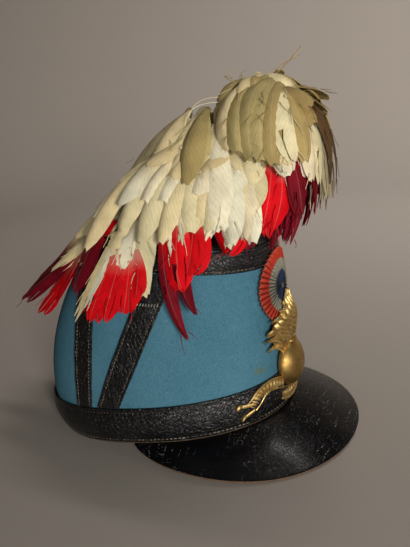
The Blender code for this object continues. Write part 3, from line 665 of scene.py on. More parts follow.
def base_place(across, up):
    turn = across * 2 * math.pi
    relief = band_relief(turn, up, (0.955,), (BASE_UPPER_SEAM, BASE_LOWER_SEAM))
    relief = relief + BASE_BAND_BULGE * np.sin(math.pi * up)
    return on_wall(turn, between(0.0, BASE_BAND_HEIGHT, up), GAP + BAND_LEATHER + relief)


def top_place(across, up):
    turn = across * 2 * math.pi
    edge = top_edge_height(turn)
    relief = band_relief(turn, up, (0.04, 0.96), (0.13, 0.86))
    relief = relief + TOP_BAND_BULGE * np.sin(math.pi * up)
    return on_wall(turn, between(edge - TOP_BAND_HEIGHT, edge, up), GAP + BAND_LEATHER + relief)


base_band = wrapped("base_band_leather", BAND_COLUMNS, BAND_ROWS, base_place, True)
base_band.data.materials.append(band_leather)
give_wall(base_band, BAND_LEATHER, -1, 0.0004)
finish_piece(base_band, ["base_band"])

top_band = wrapped("top_band_leather", BAND_COLUMNS, BAND_ROWS // 2, top_place, True)
top_band.data.materials.append(top_leather)
give_wall(top_band, BAND_LEATHER, -1, 0.0003)
finish_piece(top_band, ["top_band"])

# %% [markdown]
# ## Stitches
# A stitch is a short piece of thread that dips into the leather at both ends. One is made from a small
# sphere, and copies of it follow each channel at the real spacing of about three millimetres.

# %% One stitch, and rows of copies
STITCH_LENGTH = 0.0021
STITCH_THICKNESS = 0.0006


def new_stitch():
    """A stitch that lies along X at the origin."""
    nothing_selected()
    bpy.ops.mesh.primitive_uv_sphere_add(segments=6, ring_count=5, radius=0.5,
                                         rotation=(0, math.pi / 2, 0))
    bpy.ops.object.transform_apply(location=True, rotation=True, scale=True)
    stitch = bpy.context.object
    stitch.name = "stitch"
    return stitch


def row_of_stitches(name, places, directions, normals, thread, length=STITCH_LENGTH,
                    thickness=STITCH_THICKNESS):
    """Copies one stitch to every place, along its direction, and joins them."""
    stitch = new_stitch()
    copies = []
    for place, direction, normal in zip(places, directions, normals):
        along = Vector(direction).normalized() * length
        out = Vector(normal).normalized() * thickness
        over = out.cross(along).normalized() * thickness
        copy = stitch.copy()
        copy.data = stitch.data.copy()
        bpy.context.scene.collection.objects.link(copy)
        copy.data.transform(Matrix((
            (along.x, over.x, out.x, place[0]),
            (along.y, over.y, out.y, place[1]),
            (along.z, over.z, out.z, place[2]),
            (0, 0, 0, 1),
        )))
        copies.append(copy)
    bpy.data.objects.remove(stitch)
    row = joined(name, copies)
    row.data.materials.append(thread)
    finish_piece(row)
    return row


def stitches_round(name, height_of, stand_off, pitch, thread):
    """Stitches all round the wall at height_of(turn)."""
    fine = np.linspace(0, 2 * math.pi, 2001)
    line = wall_point(fine, height_of(fine))
    run = np.concatenate([[0], np.cumsum(np.linalg.norm(np.diff(line, axis=0), axis=1))])
    count = int(run[-1] / pitch)
    turns = np.interp((np.arange(count) + 0.5) * run[-1] / count, run, fine)
    places = on_wall(turns, height_of(turns), stand_off)
    step = 0.004
    ahead = on_wall(turns + step, height_of(turns + step), stand_off)
    return row_of_stitches(name, places, ahead - places, wall_normal(turns, height_of(turns)), thread)


STITCH_PITCH = 0.0031
CHANNEL_FLOOR = GAP + BAND_LEATHER - 0.00025
BASE_SEAM = CHANNEL_FLOOR + BASE_BAND_BULGE * math.sin(math.pi * 0.11)
TOP_SEAM = CHANNEL_FLOOR + TOP_BAND_BULGE * math.sin(math.pi * 0.135)


def base_seam_height(share):
    return lambda turn: np.full_like(turn, BASE_BAND_HEIGHT * share)


def top_seam_height(share):
    return lambda turn: top_edge_height(turn) - TOP_BAND_HEIGHT * share


for seam_name, seam_height, stand_off, thread in (
        ("base_band_upper_stitches", base_seam_height(BASE_UPPER_SEAM), BASE_SEAM, black_thread),
        ("base_band_lower_stitches", base_seam_height(BASE_LOWER_SEAM), BASE_SEAM, tan_thread),
        ("top_band_upper_stitches", top_seam_height(0.14), TOP_SEAM, black_thread),
        ("top_band_lower_stitches", top_seam_height(0.87), TOP_SEAM, tan_thread)):
    stitches_round(seam_name, seam_height, stand_off, STITCH_PITCH, thread)

# %% [markdown]
# ## The side straps
# Two straps on each side stand in a V on the base band and brace the crown. Each is a long grid wrapped
# on the wall. Both edges are turned and stitched, and a line of short white stitches crosses the front
# strap near its top.

# %% Straps
STRAP_LEATHER = 0.0018
STRAP_FOOT_TAPER = 0.0025
STRAP_END_CLEARANCE = 0.0006
STRAP_TAPER_SHARE = 0.33
ARMS = {
    "front": {"width": 0.0190, "foot": -0.0146, "top": 0.0500},
    "back": {"width": 0.0165, "foot": -0.0368, "top": -0.0155},
}


def side_turn(forward, height):
    """The turn at which the left side of the wall passes a place forward of the middle."""
    front = body_front(height)
    behind = body_back(height)
    along = np.clip((forward - (front - behind) / 2) / ((front + behind) / 2), -1.0, 1.0)
    return np.arccos(signed_power(along, OVAL_POWER / 2))


def strap_lines(arm):
    foot_height = BASE_BAND_HEIGHT + STRAP_END_CLEARANCE
    lean = (arm["top"] - arm["foot"]) / (crown_height(arm["top"]) - foot_height)
    return foot_height, lean


def strap_place(arm, side, across, up, stand_off):
    """A point of a strap: across from 0 to 1 over its width, up from its foot to its top."""
    foot_height, lean = strap_lines(arm)
    width = arm["width"] - STRAP_FOOT_TAPER * np.maximum(0.0, 1 - up / STRAP_TAPER_SHARE)
    shift = (across - 0.5) * width * math.hypot(1, lean)
    high = np.full_like(up, crown_height(arm["top"]))
    for _ in range(12):
        turn = side_turn(arm["foot"] + shift + lean * (high - foot_height), high)
        high = top_edge_height(turn) - TOP_BAND_HEIGHT - STRAP_END_CLEARANCE
    height = between(foot_height, high, up)
    forward = arm["foot"] + shift + lean * (height - foot_height)
    return on_wall(side * side_turn(forward, height), height, stand_off)


def strap_relief(across, up):
    edge = np.minimum(across, 1 - across)
    bead = 0.00040 * bump_at(edge, 0.05, 0.045)
    channel = -0.00030 * bump_at(edge, 0.14, 0.03)
    return bead + channel + 0.00012 * np.sin(up * 37 + across * 9)


STRAP_STITCH_PITCH = 0.0026
STRAP_SEAMS = (0.14, 0.86)
STRAP_SEAM_LENGTH = 0.105
STRAP_FACE = STRAP_GAP + STRAP_LEATHER
CROSS_STITCHES = 8
CROSS_ROW = 0.80
CROSS_HALF = 0.010


def seam_on_strap(arm, side, across, low, high, stand_off):
    """Places on a strap at low, with the directions from there to high."""
    places = strap_place(arm, side, across, low, stand_off)
    return places, strap_place(arm, side, across, high, stand_off) - places


for side_name, side in (("left", 1), ("right", -1)):
    for arm_name, arm in ARMS.items():
        name = f"{side_name}_{arm_name}_strap"

        def place(across, up):
            return strap_place(arm, side, across, up, STRAP_FACE + strap_relief(across, up))

        strap = wrapped(name + "_leather", 20, 60, place, False)
        face_along(strap, (side, 0, 0))
        strap.data.materials.append(strap_leather)
        give_wall(strap, STRAP_LEATHER, -1, 0.0003)
        finish_piece(strap, [name])

        shares = np.linspace(0.02, 0.98, int(STRAP_SEAM_LENGTH / STRAP_STITCH_PITCH))
        rows = [seam_on_strap(arm, side, np.full_like(shares, across), shares, shares + 0.01,
                              STRAP_FACE - 0.0001) for across in STRAP_SEAMS]
        places = np.concatenate([row[0] for row in rows])
        directions = np.concatenate([row[1] for row in rows])
        outward = np.tile((side, 0, 0), (len(places), 1))
        row_of_stitches(name + "_stitches", places, directions, outward, tan_thread,
                        length=0.0018, thickness=0.0005)
        if arm_name == "front":
            across = np.linspace(*STRAP_SEAMS, CROSS_STITCHES)
            places, directions = seam_on_strap(
                arm, side, across, np.full_like(across, CROSS_ROW - CROSS_HALF),
                np.full_like(across, CROSS_ROW + CROSS_HALF), STRAP_FACE + 0.0001)
            row_of_stitches(name + "_cross_stitches", places, directions, outward[:CROSS_STITCHES],
                            white_thread, length=0.0024, thickness=0.0008)

# %% [markdown]
# ## The crown and its rolled rim
# The top is a disc of grey-black leather, domed a little, with a rolled bead where it meets the band.

# %% Crown
CROWN_LEATHER = 0.0024
CROWN_RISE = 0.0070
ROLL_RADIUS = 0.0011


def crown_point(turn, share):
    """The crown's upper face: share 0 is its middle and 1 its edge."""
    edge_height = top_edge_height(turn)
    normal = wall_normal(turn, edge_height) * np.array([1, 1, 0])
    edge = wall_point(turn, edge_height) + unit(normal) * (GAP + BAND_LEATHER)
    middle_forward = (TOP_FRONT - TOP_BACK) / 2
    middle = np.array([0, -middle_forward, crown_height(middle_forward)])
    point = middle + (edge - middle) * np.asarray(share)[..., None]
    lift = 2 * GAP + CROWN_LEATHER + CROWN_RISE * (1 - share ** 2)
    point[..., 2] = crown_height(-point[..., 1]) + lift
    return point


def crown_place(across, up):
    share = 1 - up
    point = crown_point(across * 2 * math.pi, share)
    point[:, 2] += 0.0006 * np.sin(point[:, 0] * 90) * np.cos(point[:, 1] * 70) * up
    point[:, 2] -= 0.0012 * np.clip((share - 0.93) / 0.07, 0, 1) ** 2
    return point


crown = wrapped("crown_leather_top", 144, 30, crown_place, True)
crown.data.materials.append(crown_leather)
give_wall(crown, CROWN_LEATHER * 0.8, -1, 0.0003)
finish_piece(crown, ["crown_top"])


def roll_place(across, up):
    turn = across * 2 * math.pi
    centre = crown_point(turn, np.full_like(turn, 0.992))
    centre[:, 2] -= ROLL_RADIUS * 1.1
    normal = unit(wall_normal(turn, top_edge_height(turn)) * np.array([1, 1, 0]))
    angle = -up * 2 * math.pi
    return centre + normal * (ROLL_RADIUS * np.cos(angle))[:, None] + (
        np.array([0, 0, 1]) * (ROLL_RADIUS * np.sin(angle))[:, None])


roll = wrapped("crown_rolled_rim", 144, 10, roll_place, True)
face_outward(roll)
roll.data.materials.append(top_leather)
finish_piece(roll)

# %% [markdown]
# ## The peak
# The peak is thick patent leather that slopes down and out from under the band, a little domed.
# Its cut edge is left raw, so it gets a second, brown material through Solidify's rim offset.

# %% Peak
PEAK_REACH = 0.0471
PEAK_DROP = 0.0273
PEAK_LEATHER = 0.0026
PEAK_HALF_TURN = math.radians(90.4)
PEAK_ROUNDNESS = 0.66
PEAK_FRONT_SLOPE = 0.58
PEAK_SIDE_SLOPE = 0.41
PEAK_CAMBER = 0.0016
PEAK_TUCK_IN = 0.0040


def peak_point(turn_share, out_share):
    """The peak's upper face: turn share -1 to 1 across, out share 0 at the band and 1 at the edge."""
    turn = turn_share * PEAK_HALF_TURN
    normal = unit(wall_normal(turn, 0.0) * np.array([1, 1, 0]))
    foot = wall_point(turn, 0.0) + normal * (GAP + BAND_LEATHER)
    reach = PEAK_REACH * np.maximum(0.0, np.cos(math.pi / 2 * turn_share)) ** PEAK_ROUNDNESS
    edge_forward = -(foot[:, 1] + normal[:, 1] * reach)
    rest_back = float(on_wall(math.pi, 0.0, GAP + BAND_LEATHER)[1])
    tip_forward = RIM_FRONT + GAP + BAND_LEATHER + PEAK_REACH
    slope = between(PEAK_FRONT_SLOPE, PEAK_SIDE_SLOPE, turn_share ** 2)
    drop = np.minimum(reach * slope, PEAK_DROP * (edge_forward + rest_back) / (tip_forward + rest_back))
    point = foot + normal * (reach * out_share)[:, None]
    camber = PEAK_CAMBER * np.sin(math.pi * out_share) * reach / PEAK_REACH
    point[:, 2] = camber - GAP - drop * out_share
    return point


PEAK_TUCK_SHARE = 0.12


def peak_place(across, up):
    turn_share = between(-1.0, 1.0, across)
    out_share = np.maximum(0.0, (up - PEAK_TUCK_SHARE) / (1 - PEAK_TUCK_SHARE))
    point = peak_point(turn_share, out_share)
    normal = unit(wall_normal(turn_share * PEAK_HALF_TURN, 0.0) * np.array([1, 1, 0]))
    tuck = np.maximum(0.0, 1 - up / PEAK_TUCK_SHARE) * PEAK_TUCK_IN
    point -= normal * tuck[:, None]
    point[:, 2] += 0.00035 * np.sin(turn_share * 11) * np.sin(out_share * 5) * out_share
    return point


peak = wrapped("patent_peak", 120, 24, peak_place, False)
face_along(peak, (0, 0, 1))
merge_doubles(peak)
peak.data.materials.append(patent_leather)
peak.data.materials.append(raw_edge)
give_wall(peak, PEAK_LEATHER, -1, 0.0005, 1)
finish_piece(peak, ["peak"])

# %% [markdown]
# ## The cockade
# A strip woven in three colours is folded into narrow pleats and drawn into a disc, with a small button
# on its middle. Separate folded leaves could make it, but one round grid with a ridge for each pleat
# has no gaps. The colour goes by the distance from the middle, which the UV map holds, and the same
# map paints shade into the valleys between the pleats.

# %% Ribbon material
COCKADE_PLEATS = 42


def make_ribbon_cloth():
    made, tree, shader = new_material("pleated_ribbon", 0.85)
    _, turn, middle = sheet_place(tree)
    place = object_place(tree)
    ragged = maths(tree, "MULTIPLY", maths(tree, "SUBTRACT", noise(tree, place, 700, 2.0), 0.5), 0.10)
    share = maths(tree, "ADD", maths(tree, "SUBTRACT", 1.0, middle), ragged)
    colour = ramp(tree, share, (0.0, (0.014, 0.022, 0.050)), (0.40, (0.016, 0.026, 0.060)),
                  (0.44, (0.190, 0.185, 0.145)), (0.70, (0.250, 0.235, 0.180)),
                  (0.735, (0.400, 0.026, 0.012)), (0.96, (0.470, 0.042, 0.018)),
                  (1.0, (0.48, 0.11, 0.07)))
    pleats = maths(tree, "COSINE", maths(tree, "MULTIPLY", turn, COCKADE_PLEATS * 2 * math.pi))
    # Painted shade: the valley between each pair of pleats is darkened in the base colour.
    painted_valley_shade = ramp(tree, maths(tree, "MULTIPLY_ADD", pleats, 0.5), (0.60, 1.0), (0.97, 0.30))
    soil = ramp(tree, noise(tree, place, 300, 4.0), (0.3, 0.62), (0.7, 1.0))
    plug(tree, mixed(tree, 1.0, mixed(tree, 1.0, colour, soil, "MULTIPLY"), painted_valley_shade, "MULTIPLY"),
         shader.inputs["Base Color"])
    ribs = maths(tree, "SINE", maths(tree, "MULTIPLY", share, 260.0))
    raised(tree, shader, ribs, 0.00012, 0.4)
    shader.inputs["Specular IOR Level"].default_value = 0.2
    return made


ribbon_cloth = make_ribbon_cloth()

# %% Pleated disc
COCKADE_RADIUS = 0.0285
COCKADE_HEIGHT = 0.0905
COCKADE_FOLD = 0.0017
COCKADE_CLOTH = 0.0009
COCKADE_BACK = GAP + BAND_LEATHER + STRAP_GAP


def front_turn(side, height):
    """The turn at which the front of the wall passes a place to the left of the middle."""
    along = np.ones_like(side)
    turn = np.zeros_like(side)
    for _ in range(8):
        share = side / (body_half_width(height) * (1 - FRONT_NARROWING * along))
        turn = np.arcsin(np.sign(share) * np.minimum(1.0, np.abs(share)) ** (OVAL_POWER / 2))
        along = signed_power(np.cos(turn), 2 / OVAL_POWER)
    return turn


def on_front(side, height, stand_off):
    """Points before the front of the wall."""
    side, height = np.broadcast_arrays(np.asarray(side, float), np.asarray(height, float))
    return on_wall(front_turn(side, height), height, np.broadcast_to(stand_off, side.shape))


def cockade_place(across, up):
    share = 1 - up
    turn = across * 2 * math.pi
    phase = (across * COCKADE_PLEATS) % 1.0
    ridge = np.where(phase < 0.7, phase / 0.7, (1 - phase) / 0.3)
    fold = COCKADE_FOLD * ridge * np.clip(share * 1.6, 0, 1)
    radius = COCKADE_RADIUS * share * (1 + 0.012 * np.cos(phase * 2 * math.pi))
    dish = 0.0008 * np.cos(share * 2.4)
    out = COCKADE_BACK + COCKADE_CLOTH + 0.0006 + fold + dish
    return on_front(radius * np.sin(turn), COCKADE_HEIGHT + radius * np.cos(turn), out)


cockade = wrapped("pleated_cockade", COCKADE_PLEATS * 6, 14, cockade_place, True)
face_along(cockade, (0, -1, 0))
cockade.data.materials.append(ribbon_cloth)
give_wall(cockade, COCKADE_CLOTH, -1)
finish_piece(cockade, ["cockade"], 70)

nothing_selected()
bpy.ops.mesh.primitive_uv_sphere_add(segments=24, ring_count=12, radius=1)
button = bpy.context.object
button.name = "cockade_button"
flat = corners_of(button)
put_corners(button, on_front(flat[:, 0] * 0.0026, COCKADE_HEIGHT + flat[:, 1] * 0.0026,
                             COCKADE_BACK + 0.0030 + flat[:, 2] * 0.0010))
face_outward(button)
button.data.materials.append(black_thread)
finish_piece(button)

# %% [markdown]
# ## Brass
# The badge is stamped from thin brass: a ball with its flame, over a scroll. Old brass is warm and
# dull, nearly brown in its hollows and bright where it is rubbed, so roughness and colour follow a noise.
# The flame and the scroll have a lighter copy of the ball's brass, a painted highlight for the light on
# them.

# %% Brass material
def make_brass(name, low, high, roughness):
    made, tree, shader = new_material(name, roughness, 1.0)
    place = object_place(tree)
    patina = noise(tree, place, 130, 6.0, 0.65, 0.3)
    specks = noise(tree, place, 900, 4.0, 0.7)
    rubbed = ramp(tree, patina, (0.34, low), (0.66, high))
    plug(tree, mixed(tree, ramp(tree, specks, (0.30, 0.7), (0.45, 0.0)), rubbed, (0.110, 0.065, 0.022)),
         shader.inputs["Base Color"])
    plug(tree, ramp(tree, patina, (0.3, roughness + 0.16), (0.75, roughness)),
         shader.inputs["Roughness"])
    raised(tree, shader, specks, 0.00008, 0.5)
    return made


ball_brass = make_brass("ball_brass", (0.280, 0.165, 0.048), (0.520, 0.340, 0.115), 0.36)
# The flame and scroll brass is lighter than the ball's: a painted highlight for the light that falls on
# them.
flame_brass_painted_lighter = make_brass("flame_brass_painted_lighter", (0.380, 0.235, 0.072), (0.800, 0.590, 0.245), 0.38)
print("Brass has", len(ball_brass.node_tree.nodes), "nodes")

# %% Sizes of the badge
BADGE_BALL_RADIUS = 0.0188
BADGE_BALL_HEIGHT = 0.0298
BADGE_BALL_BULGE = 0.0120
BADGE_METAL = 0.0009
BADGE_STAND_OFF = 0.0026
BADGE_LIFT_START = 0.0411
FLAME_HEIGHT = 0.0385
FLAME_LIFT = 0.0036
FLAME_BULGE = 0.0045
RIBBON_WIDTH = 0.0105
RIBBON_METAL = 0.0012
RIBBON_HALF_SPAN = 0.0560
RIBBON_RISE = 0.0205


def on_badge(side, height, out):
    """Points of the badge, which is bent to the front and lifted over the cockade."""
    flame_top = BADGE_BALL_HEIGHT + BADGE_BALL_RADIUS + FLAME_HEIGHT
    share = (height - BADGE_LIFT_START) / (flame_top - BADGE_LIFT_START)
    return on_front(side, height, BADGE_STAND_OFF + FLAME_LIFT * np.maximum(0.0, share) + out)


# %% [markdown]
# The ball is half a sphere: the primitive is cut with bisect and laid on the front of the hat, and
# Solidify gives it the metal's thickness. A whole sphere would sink its far half into the cloth.

# %% Ball
nothing_selected()
bpy.ops.mesh.primitive_uv_sphere_add(segments=64, ring_count=32, radius=1)
ball = bpy.context.object
ball.name = "badge_ball"
bpy.ops.object.mode_set(mode="EDIT")
bpy.ops.mesh.select_all(action="SELECT")
bpy.ops.mesh.bisect(plane_co=(0, 0, 0), plane_no=(0, 0, 1), clear_inner=True)
bpy.ops.object.mode_set(mode="OBJECT")
dome = corners_of(ball)
put_corners(ball, on_badge(dome[:, 0] * BADGE_BALL_RADIUS,
                           BADGE_BALL_HEIGHT + dome[:, 1] * BADGE_BALL_RADIUS,
                           dome[:, 2] ** 0.9 * BADGE_BALL_BULGE))
face_outward(ball)
ball.data.materials.append(ball_brass)
give_wall(ball, BADGE_METAL, -1)
finish_piece(ball, ["grenade_badge"], 60)


# %% [markdown]
# The flame rises from the ball as one domed leaf with a scalloped edge, chased with slanting strands.
# It could be one pressed sheet all over, but separate tongues cast the shadows that the real one has.
# So five on each side stand out from its foot to its shoulder, each with a ridge down its middle.

# %% Flame
FLAME_PROFILE = (
    {"up": 0.00, "half": 0.0090},
    {"up": 0.14, "half": 0.0170},
    {"up": 0.30, "half": 0.0235},
    {"up": 0.46, "half": 0.0255},
    {"up": 0.58, "half": 0.0230},
    {"up": 0.68, "half": 0.0150},
    {"up": 0.78, "half": 0.0080},
    {"up": 0.90, "half": 0.0042},
    {"up": 1.00, "half": 0.0005},
)
FLAME_REACH = FLAME_HEIGHT + BADGE_BALL_RADIUS * 0.30
FLAME_ROOT_HEIGHT = BADGE_BALL_HEIGHT + BADGE_BALL_RADIUS * 0.70
FLAME_TEETH = 5
STRAND_DEPTH = 0.0015


def flame_place(across, up):
    side = (across - 0.5) * 2
    half = np.interp(up, [row["up"] for row in FLAME_PROFILE], [row["half"] for row in FLAME_PROFILE])
    tooth = 1 - (up * FLAME_TEETH) % 1.0
    reach = side * half * (1 + 0.42 * (tooth - 0.5) * np.abs(side) ** 3)
    dome = FLAME_BULGE * (1 - side ** 2) ** 1.3 * np.sin(math.pi * (0.12 + 0.80 * up))
    strands = STRAND_DEPTH * np.abs(np.sin(math.pi * (np.abs(side) * 4.0 - up * 11.0)))
    spine = 0.0007 * bump_at(side, 0.0, 0.16)
    fading = np.sin(math.pi * np.clip(up * 1.1, 0, 1)) ** 0.5
    lift = 0.0022 * (1 - 0.5 * side ** 2) + dome + strands * fading + spine
    return on_badge(reach, FLAME_ROOT_HEIGHT + FLAME_REACH * up, lift)


def tongue(name, side, lean, length, width, lift, curl):
    """One tongue of flame with a ridge down its middle."""
    def place(across, up):
        swing = lean - curl * np.sin(up * math.pi * 0.9)
        path_side = side + length * up * np.sin(swing)
        path_height = FLAME_ROOT_HEIGHT + length * up * np.cos(swing)
        half = width / 2 * np.sin(np.clip(up * 0.96 + 0.04, 0, 1) ** 0.75 * math.pi) ** 0.8
        offset = (across - 0.5) * 2 * half
        ridge = 0.0011 * (1 - np.abs(across - 0.5) * 2) + 0.0004 * np.cos((across - 0.5) * 6 * math.pi)
        out = lift + ridge + FLAME_BULGE * 0.6 * np.sin(math.pi * np.clip(up, 0, 1)) ** 1.2
        return on_badge(path_side + offset * np.cos(swing), path_height - offset * np.sin(swing), out)

    piece = wrapped(name, 8, 20, place, False)
    merge_doubles(piece)
    face_along(piece, (0, -1, 0))
    return piece


FLAME_TONGUES = (
    {"side": 0.0060, "lean": 84, "length": 0.54, "width": 0.0080, "lift": 0.0004, "curl": 24},
    {"side": 0.0060, "lean": 70, "length": 0.66, "width": 0.0090, "lift": 0.0008, "curl": 24},
    {"side": 0.0055, "lean": 56, "length": 0.68, "width": 0.0088, "lift": 0.0012, "curl": 22},
    {"side": 0.0048, "lean": 40, "length": 0.66, "width": 0.0080, "lift": 0.0018, "curl": 18},
    {"side": 0.0034, "lean": 24, "length": 0.72, "width": 0.0080, "lift": 0.0030, "curl": 14},
)
leaf = wrapped("flame_leaf", 72, 130, flame_place, False)
merge_doubles(leaf)
face_along(leaf, (0, -1, 0))
tongues = [leaf]
for number, row in enumerate(FLAME_TONGUES):
    for side in (1, -1):
        tongues.append(tongue(f"tongue_{number}_{side}", side * row["side"],
                              side * math.radians(row["lean"]), FLAME_REACH * row["length"],
                              row["width"], row["lift"], side * math.radians(row["curl"])))
flame = joined("badge_flame", tongues)
flame.data.materials.append(flame_brass_painted_lighter)
give_wall(flame, 0.0009, -1)
finish_piece(flame, (), 35)

nothing_selected()
bpy.ops.mesh.primitive_torus_add(major_radius=0.0050, minor_radius=0.0014, major_segments=36,
                                 minor_segments=12)
collar = bpy.context.object
collar.name = "badge_collar"
ring = corners_of(collar)
put_corners(collar, on_badge(ring[:, 0], BADGE_BALL_HEIGHT + BADGE_BALL_RADIUS * 0.93 + ring[:, 2],
                             0.0042 - ring[:, 1] * 0.6))
face_outward(collar)
collar.data.materials.append(ball_brass)
finish_piece(collar, (), 60)


# %% [markdown]
# The scroll is a strip with raised borders, low ribs and a plain row of raised lozenges. Each arm arches
# away from the ball and splits into two tails that end in beads. A curve with a flat profile could make
# the strip, but a grid carried along a few stations takes the borders and ribs in the same step.

# %% Scroll
MIDDLE_STATIONS = (
    {"side": -0.37, "height": 0.60, "width": 1.0, "lean": 8},
    {"side": -0.20, "height": 0.42, "width": 1.0, "lean": 4},
    {"side": 0.00, "height": 0.36, "width": 1.0, "lean": 0},
    {"side": 0.20, "height": 0.42, "width": 1.0, "lean": -4},
    {"side": 0.37, "height": 0.60, "width": 1.0, "lean": -8},
)
ARCH_STATIONS = (
    {"side": 0.28, "height": 0.90, "width": 0.86, "lean": -20},
    {"side": 0.43, "height": 1.08, "width": 0.86, "lean": -14},
    {"side": 0.57, "height": 1.15, "width": 0.86, "lean": 4},
    {"side": 0.69, "height": 1.04, "width": 0.84, "lean": 34},
    {"side": 0.77, "height": 0.82, "width": 0.82, "lean": 50},
    {"side": 0.83, "height": 0.66, "width": 0.82, "lean": 42},
)


def smooth_stations(stations, across):
    """Side, height, width and lean along a strip, eased between its stations."""
    position = across * (len(stations) - 1)
    columns = {}
    for key in ("side", "height", "width", "lean"):
        values = np.array([station[key] for station in stations], float)
        slopes = np.gradient(values)
        index = np.clip(position.astype(int), 0, len(values) - 2)
        t = position - index
        columns[key] = ((2 * t ** 3 - 3 * t ** 2 + 1) * values[index]
                        + (t ** 3 - 2 * t ** 2 + t) * slopes[index]
                        + (3 * t ** 2 - 2 * t ** 3) * values[index + 1]
                        + (t ** 3 - t ** 2) * slopes[index + 1])
    return columns


def scroll_point(stations, across, up, out):
    row = smooth_stations(stations, across)
    lean = np.radians(row["lean"])
    offset = (up - 0.5) * row["width"] * RIBBON_WIDTH
    return on_badge(row["side"] * RIBBON_HALF_SPAN + offset * np.sin(lean),
                    row["height"] * RIBBON_RISE + offset * np.cos(lean), out)


SCROLL_RIBS = 13


def scroll_strip(name, stations):
    def place(across, up):
        border = 0.00075 * (bump_at(up, 0.05, 0.05) + bump_at(up, 0.95, 0.05))
        ribs = 0.00080 * np.abs(np.sin(across * SCROLL_RIBS * math.pi)) * bump_at(up, 0.5, 0.28)
        return scroll_point(stations, across, up, RIBBON_METAL + border + ribs)

    strip = wrapped(name, 96, 18, place, False)
    face_along(strip, (0, -1, 0))
    give_wall(strip, RIBBON_METAL, -1, 0.0002)
    return strip


def lozenge_row(stations, count, low, high):
    """Raised lozenges along a strip."""
    made = []
    for share in np.linspace(low, high, count):
        nothing_selected()
        bpy.ops.mesh.primitive_cone_add(vertices=4, radius1=1, radius2=0.35, depth=1)
        stud = bpy.context.object
        shape = corners_of(stud)
        along = share + shape[:, 0] * 0.030
        up_share = 0.5 + shape[:, 1] * 0.20
        put_corners(stud, scroll_point(stations, np.clip(along, 0, 1), up_share,
                                       RIBBON_METAL - 0.0002 + (shape[:, 2] + 0.5) * 0.0011))
        face_outward(stud)
        made.append(stud)
    return made


def scroll_tail(side, root, tip):
    """A prong that swells into a bead at its end."""
    nothing_selected()
    bpy.ops.mesh.primitive_uv_sphere_add(segments=20, ring_count=24, radius=1)
    prong = bpy.context.object
    shape = corners_of(prong)
    share = (shape[:, 2] + 1) / 2
    bead = share > 0.72
    width = np.where(bead, 0.0023, 0.0020)
    path_side = side * between(root[0], tip[0], share) * RIBBON_HALF_SPAN
    path_height = between(root[1], tip[1], share) * RIBBON_RISE
    ring = np.hypot(shape[:, 0], shape[:, 1])
    bead_ring = np.sqrt(np.maximum(0.0, 1 - ((share - 0.86) / 0.145) ** 2))
    keep = np.where(bead, bead_ring, 0.75) / np.maximum(ring, 0.02) * (ring > 0.01)
    depth = np.where(bead, 0.0019, 0.0008)
    put_corners(prong, on_badge(path_side + shape[:, 0] * keep * width * 0.3,
                                path_height + shape[:, 0] * keep * width,
                                RIBBON_METAL / 2 + 0.0006 + shape[:, 1] * keep * depth))
    face_outward(prong)
    return prong


scroll_pieces = [scroll_strip("scroll_middle", MIDDLE_STATIONS)]
scroll_pieces += lozenge_row(MIDDLE_STATIONS, 9, 0.10, 0.90)
for side in (1, -1):
    arch = [dict(row, side=side * row["side"], lean=side * row["lean"]) for row in ARCH_STATIONS]
    scroll_pieces.append(scroll_strip(f"scroll_arch_{side}", arch))
    scroll_pieces += lozenge_row(arch, 7, 0.10, 0.86)
    scroll_pieces.append(scroll_tail(side, (0.80, 0.76), (0.97, 0.84)))
    scroll_pieces.append(scroll_tail(side, (0.80, 0.54), (0.94, 0.37)))
scroll = joined("badge_scroll", scroll_pieces)
scroll.data.materials.append(flame_brass_painted_lighter)
finish_piece(scroll, (), 35)

# %% [markdown]
# ## The plume's holder
# A short leather-covered socket stands at the front of the crown and takes the plume's stem. Its solid
# has the right shape already, so only its finish is new.

# %% Holder
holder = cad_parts["plume_holder"]
holder.data.materials.clear()
holder.data.materials.append(strap_leather)
PLUME_FOOT = Vector((0.0, -0.0945, 0.1280))
PLUME_HEAD = Vector((0.0, -0.1107, 0.2034))
print("The plume's head is", round((PLUME_HEAD - PLUME_FOOT).length * 1000), "mm above its foot")

# %% [markdown]
# ## Feathers
# A feather is a thin blade with a shaft down its middle. Strands of hair could make it, but they don't
# become a mesh that can be printed. So six blades are modelled: four broad ones with a round end and
# fewer or more splits, a narrow one with a point, and a wisp. Faces are taken out of a flat grid as the
# splits in the vane, its rows are narrowed one by one, and its edges are let down to cup the blade.

# %% Model feathers
FEATHER_ROWS = 10
FEATHER_COLUMNS = 6


def broad_outline(share):
    """Widest near its end, and round."""
    if share < 0.68:
        return 0.22 + 0.78 * math.sin(math.pi / 2 * share / 0.68) ** 0.9
    return math.sqrt(max(0.09, 1 - ((share - 0.68) / 0.33) ** 2))


def narrow_outline(share):
    """Widest near its root, and pointed."""
    return max(0.07, min(1.0, 0.40 + 2.2 * share) * (1 - max(0.0, (share - 0.40) / 0.62) ** 1.6))


def wisp_outline(share):
    return max(0.10, 1 - 0.85 * share)


def narrow_row(blade, share, width):
    """Narrows one row of a flat feather about its shaft."""
    select_corners(blade, lambda corner: abs(corner.y - share) < 0.01)
    bpy.ops.transform.resize(value=(width, 1, 1), center_override=(0.5, share, 0))
    bpy.ops.object.mode_set(mode="OBJECT")


def part_vane(blade, column, rows):
    """Takes one column of faces out of a feather's end, so that the vane is split there."""
    only(blade)
    bpy.ops.object.mode_set(mode="EDIT")
    bpy.ops.mesh.select_mode(type="FACE")
    bpy.ops.mesh.select_all(action="DESELECT")
    bpy.ops.object.mode_set(mode="OBJECT")
    for face in blade.data.polygons:
        middle = face.center
        in_column = abs(middle.x - (column + 0.5) / FEATHER_COLUMNS) < 0.4 / FEATHER_COLUMNS
        face.select = in_column and middle.y > 1 - rows / FEATHER_ROWS
    bpy.ops.object.mode_set(mode="EDIT")
    bpy.ops.mesh.delete(type="FACE")
    bpy.ops.mesh.select_mode(type="VERT")
    bpy.ops.object.mode_set(mode="OBJECT")


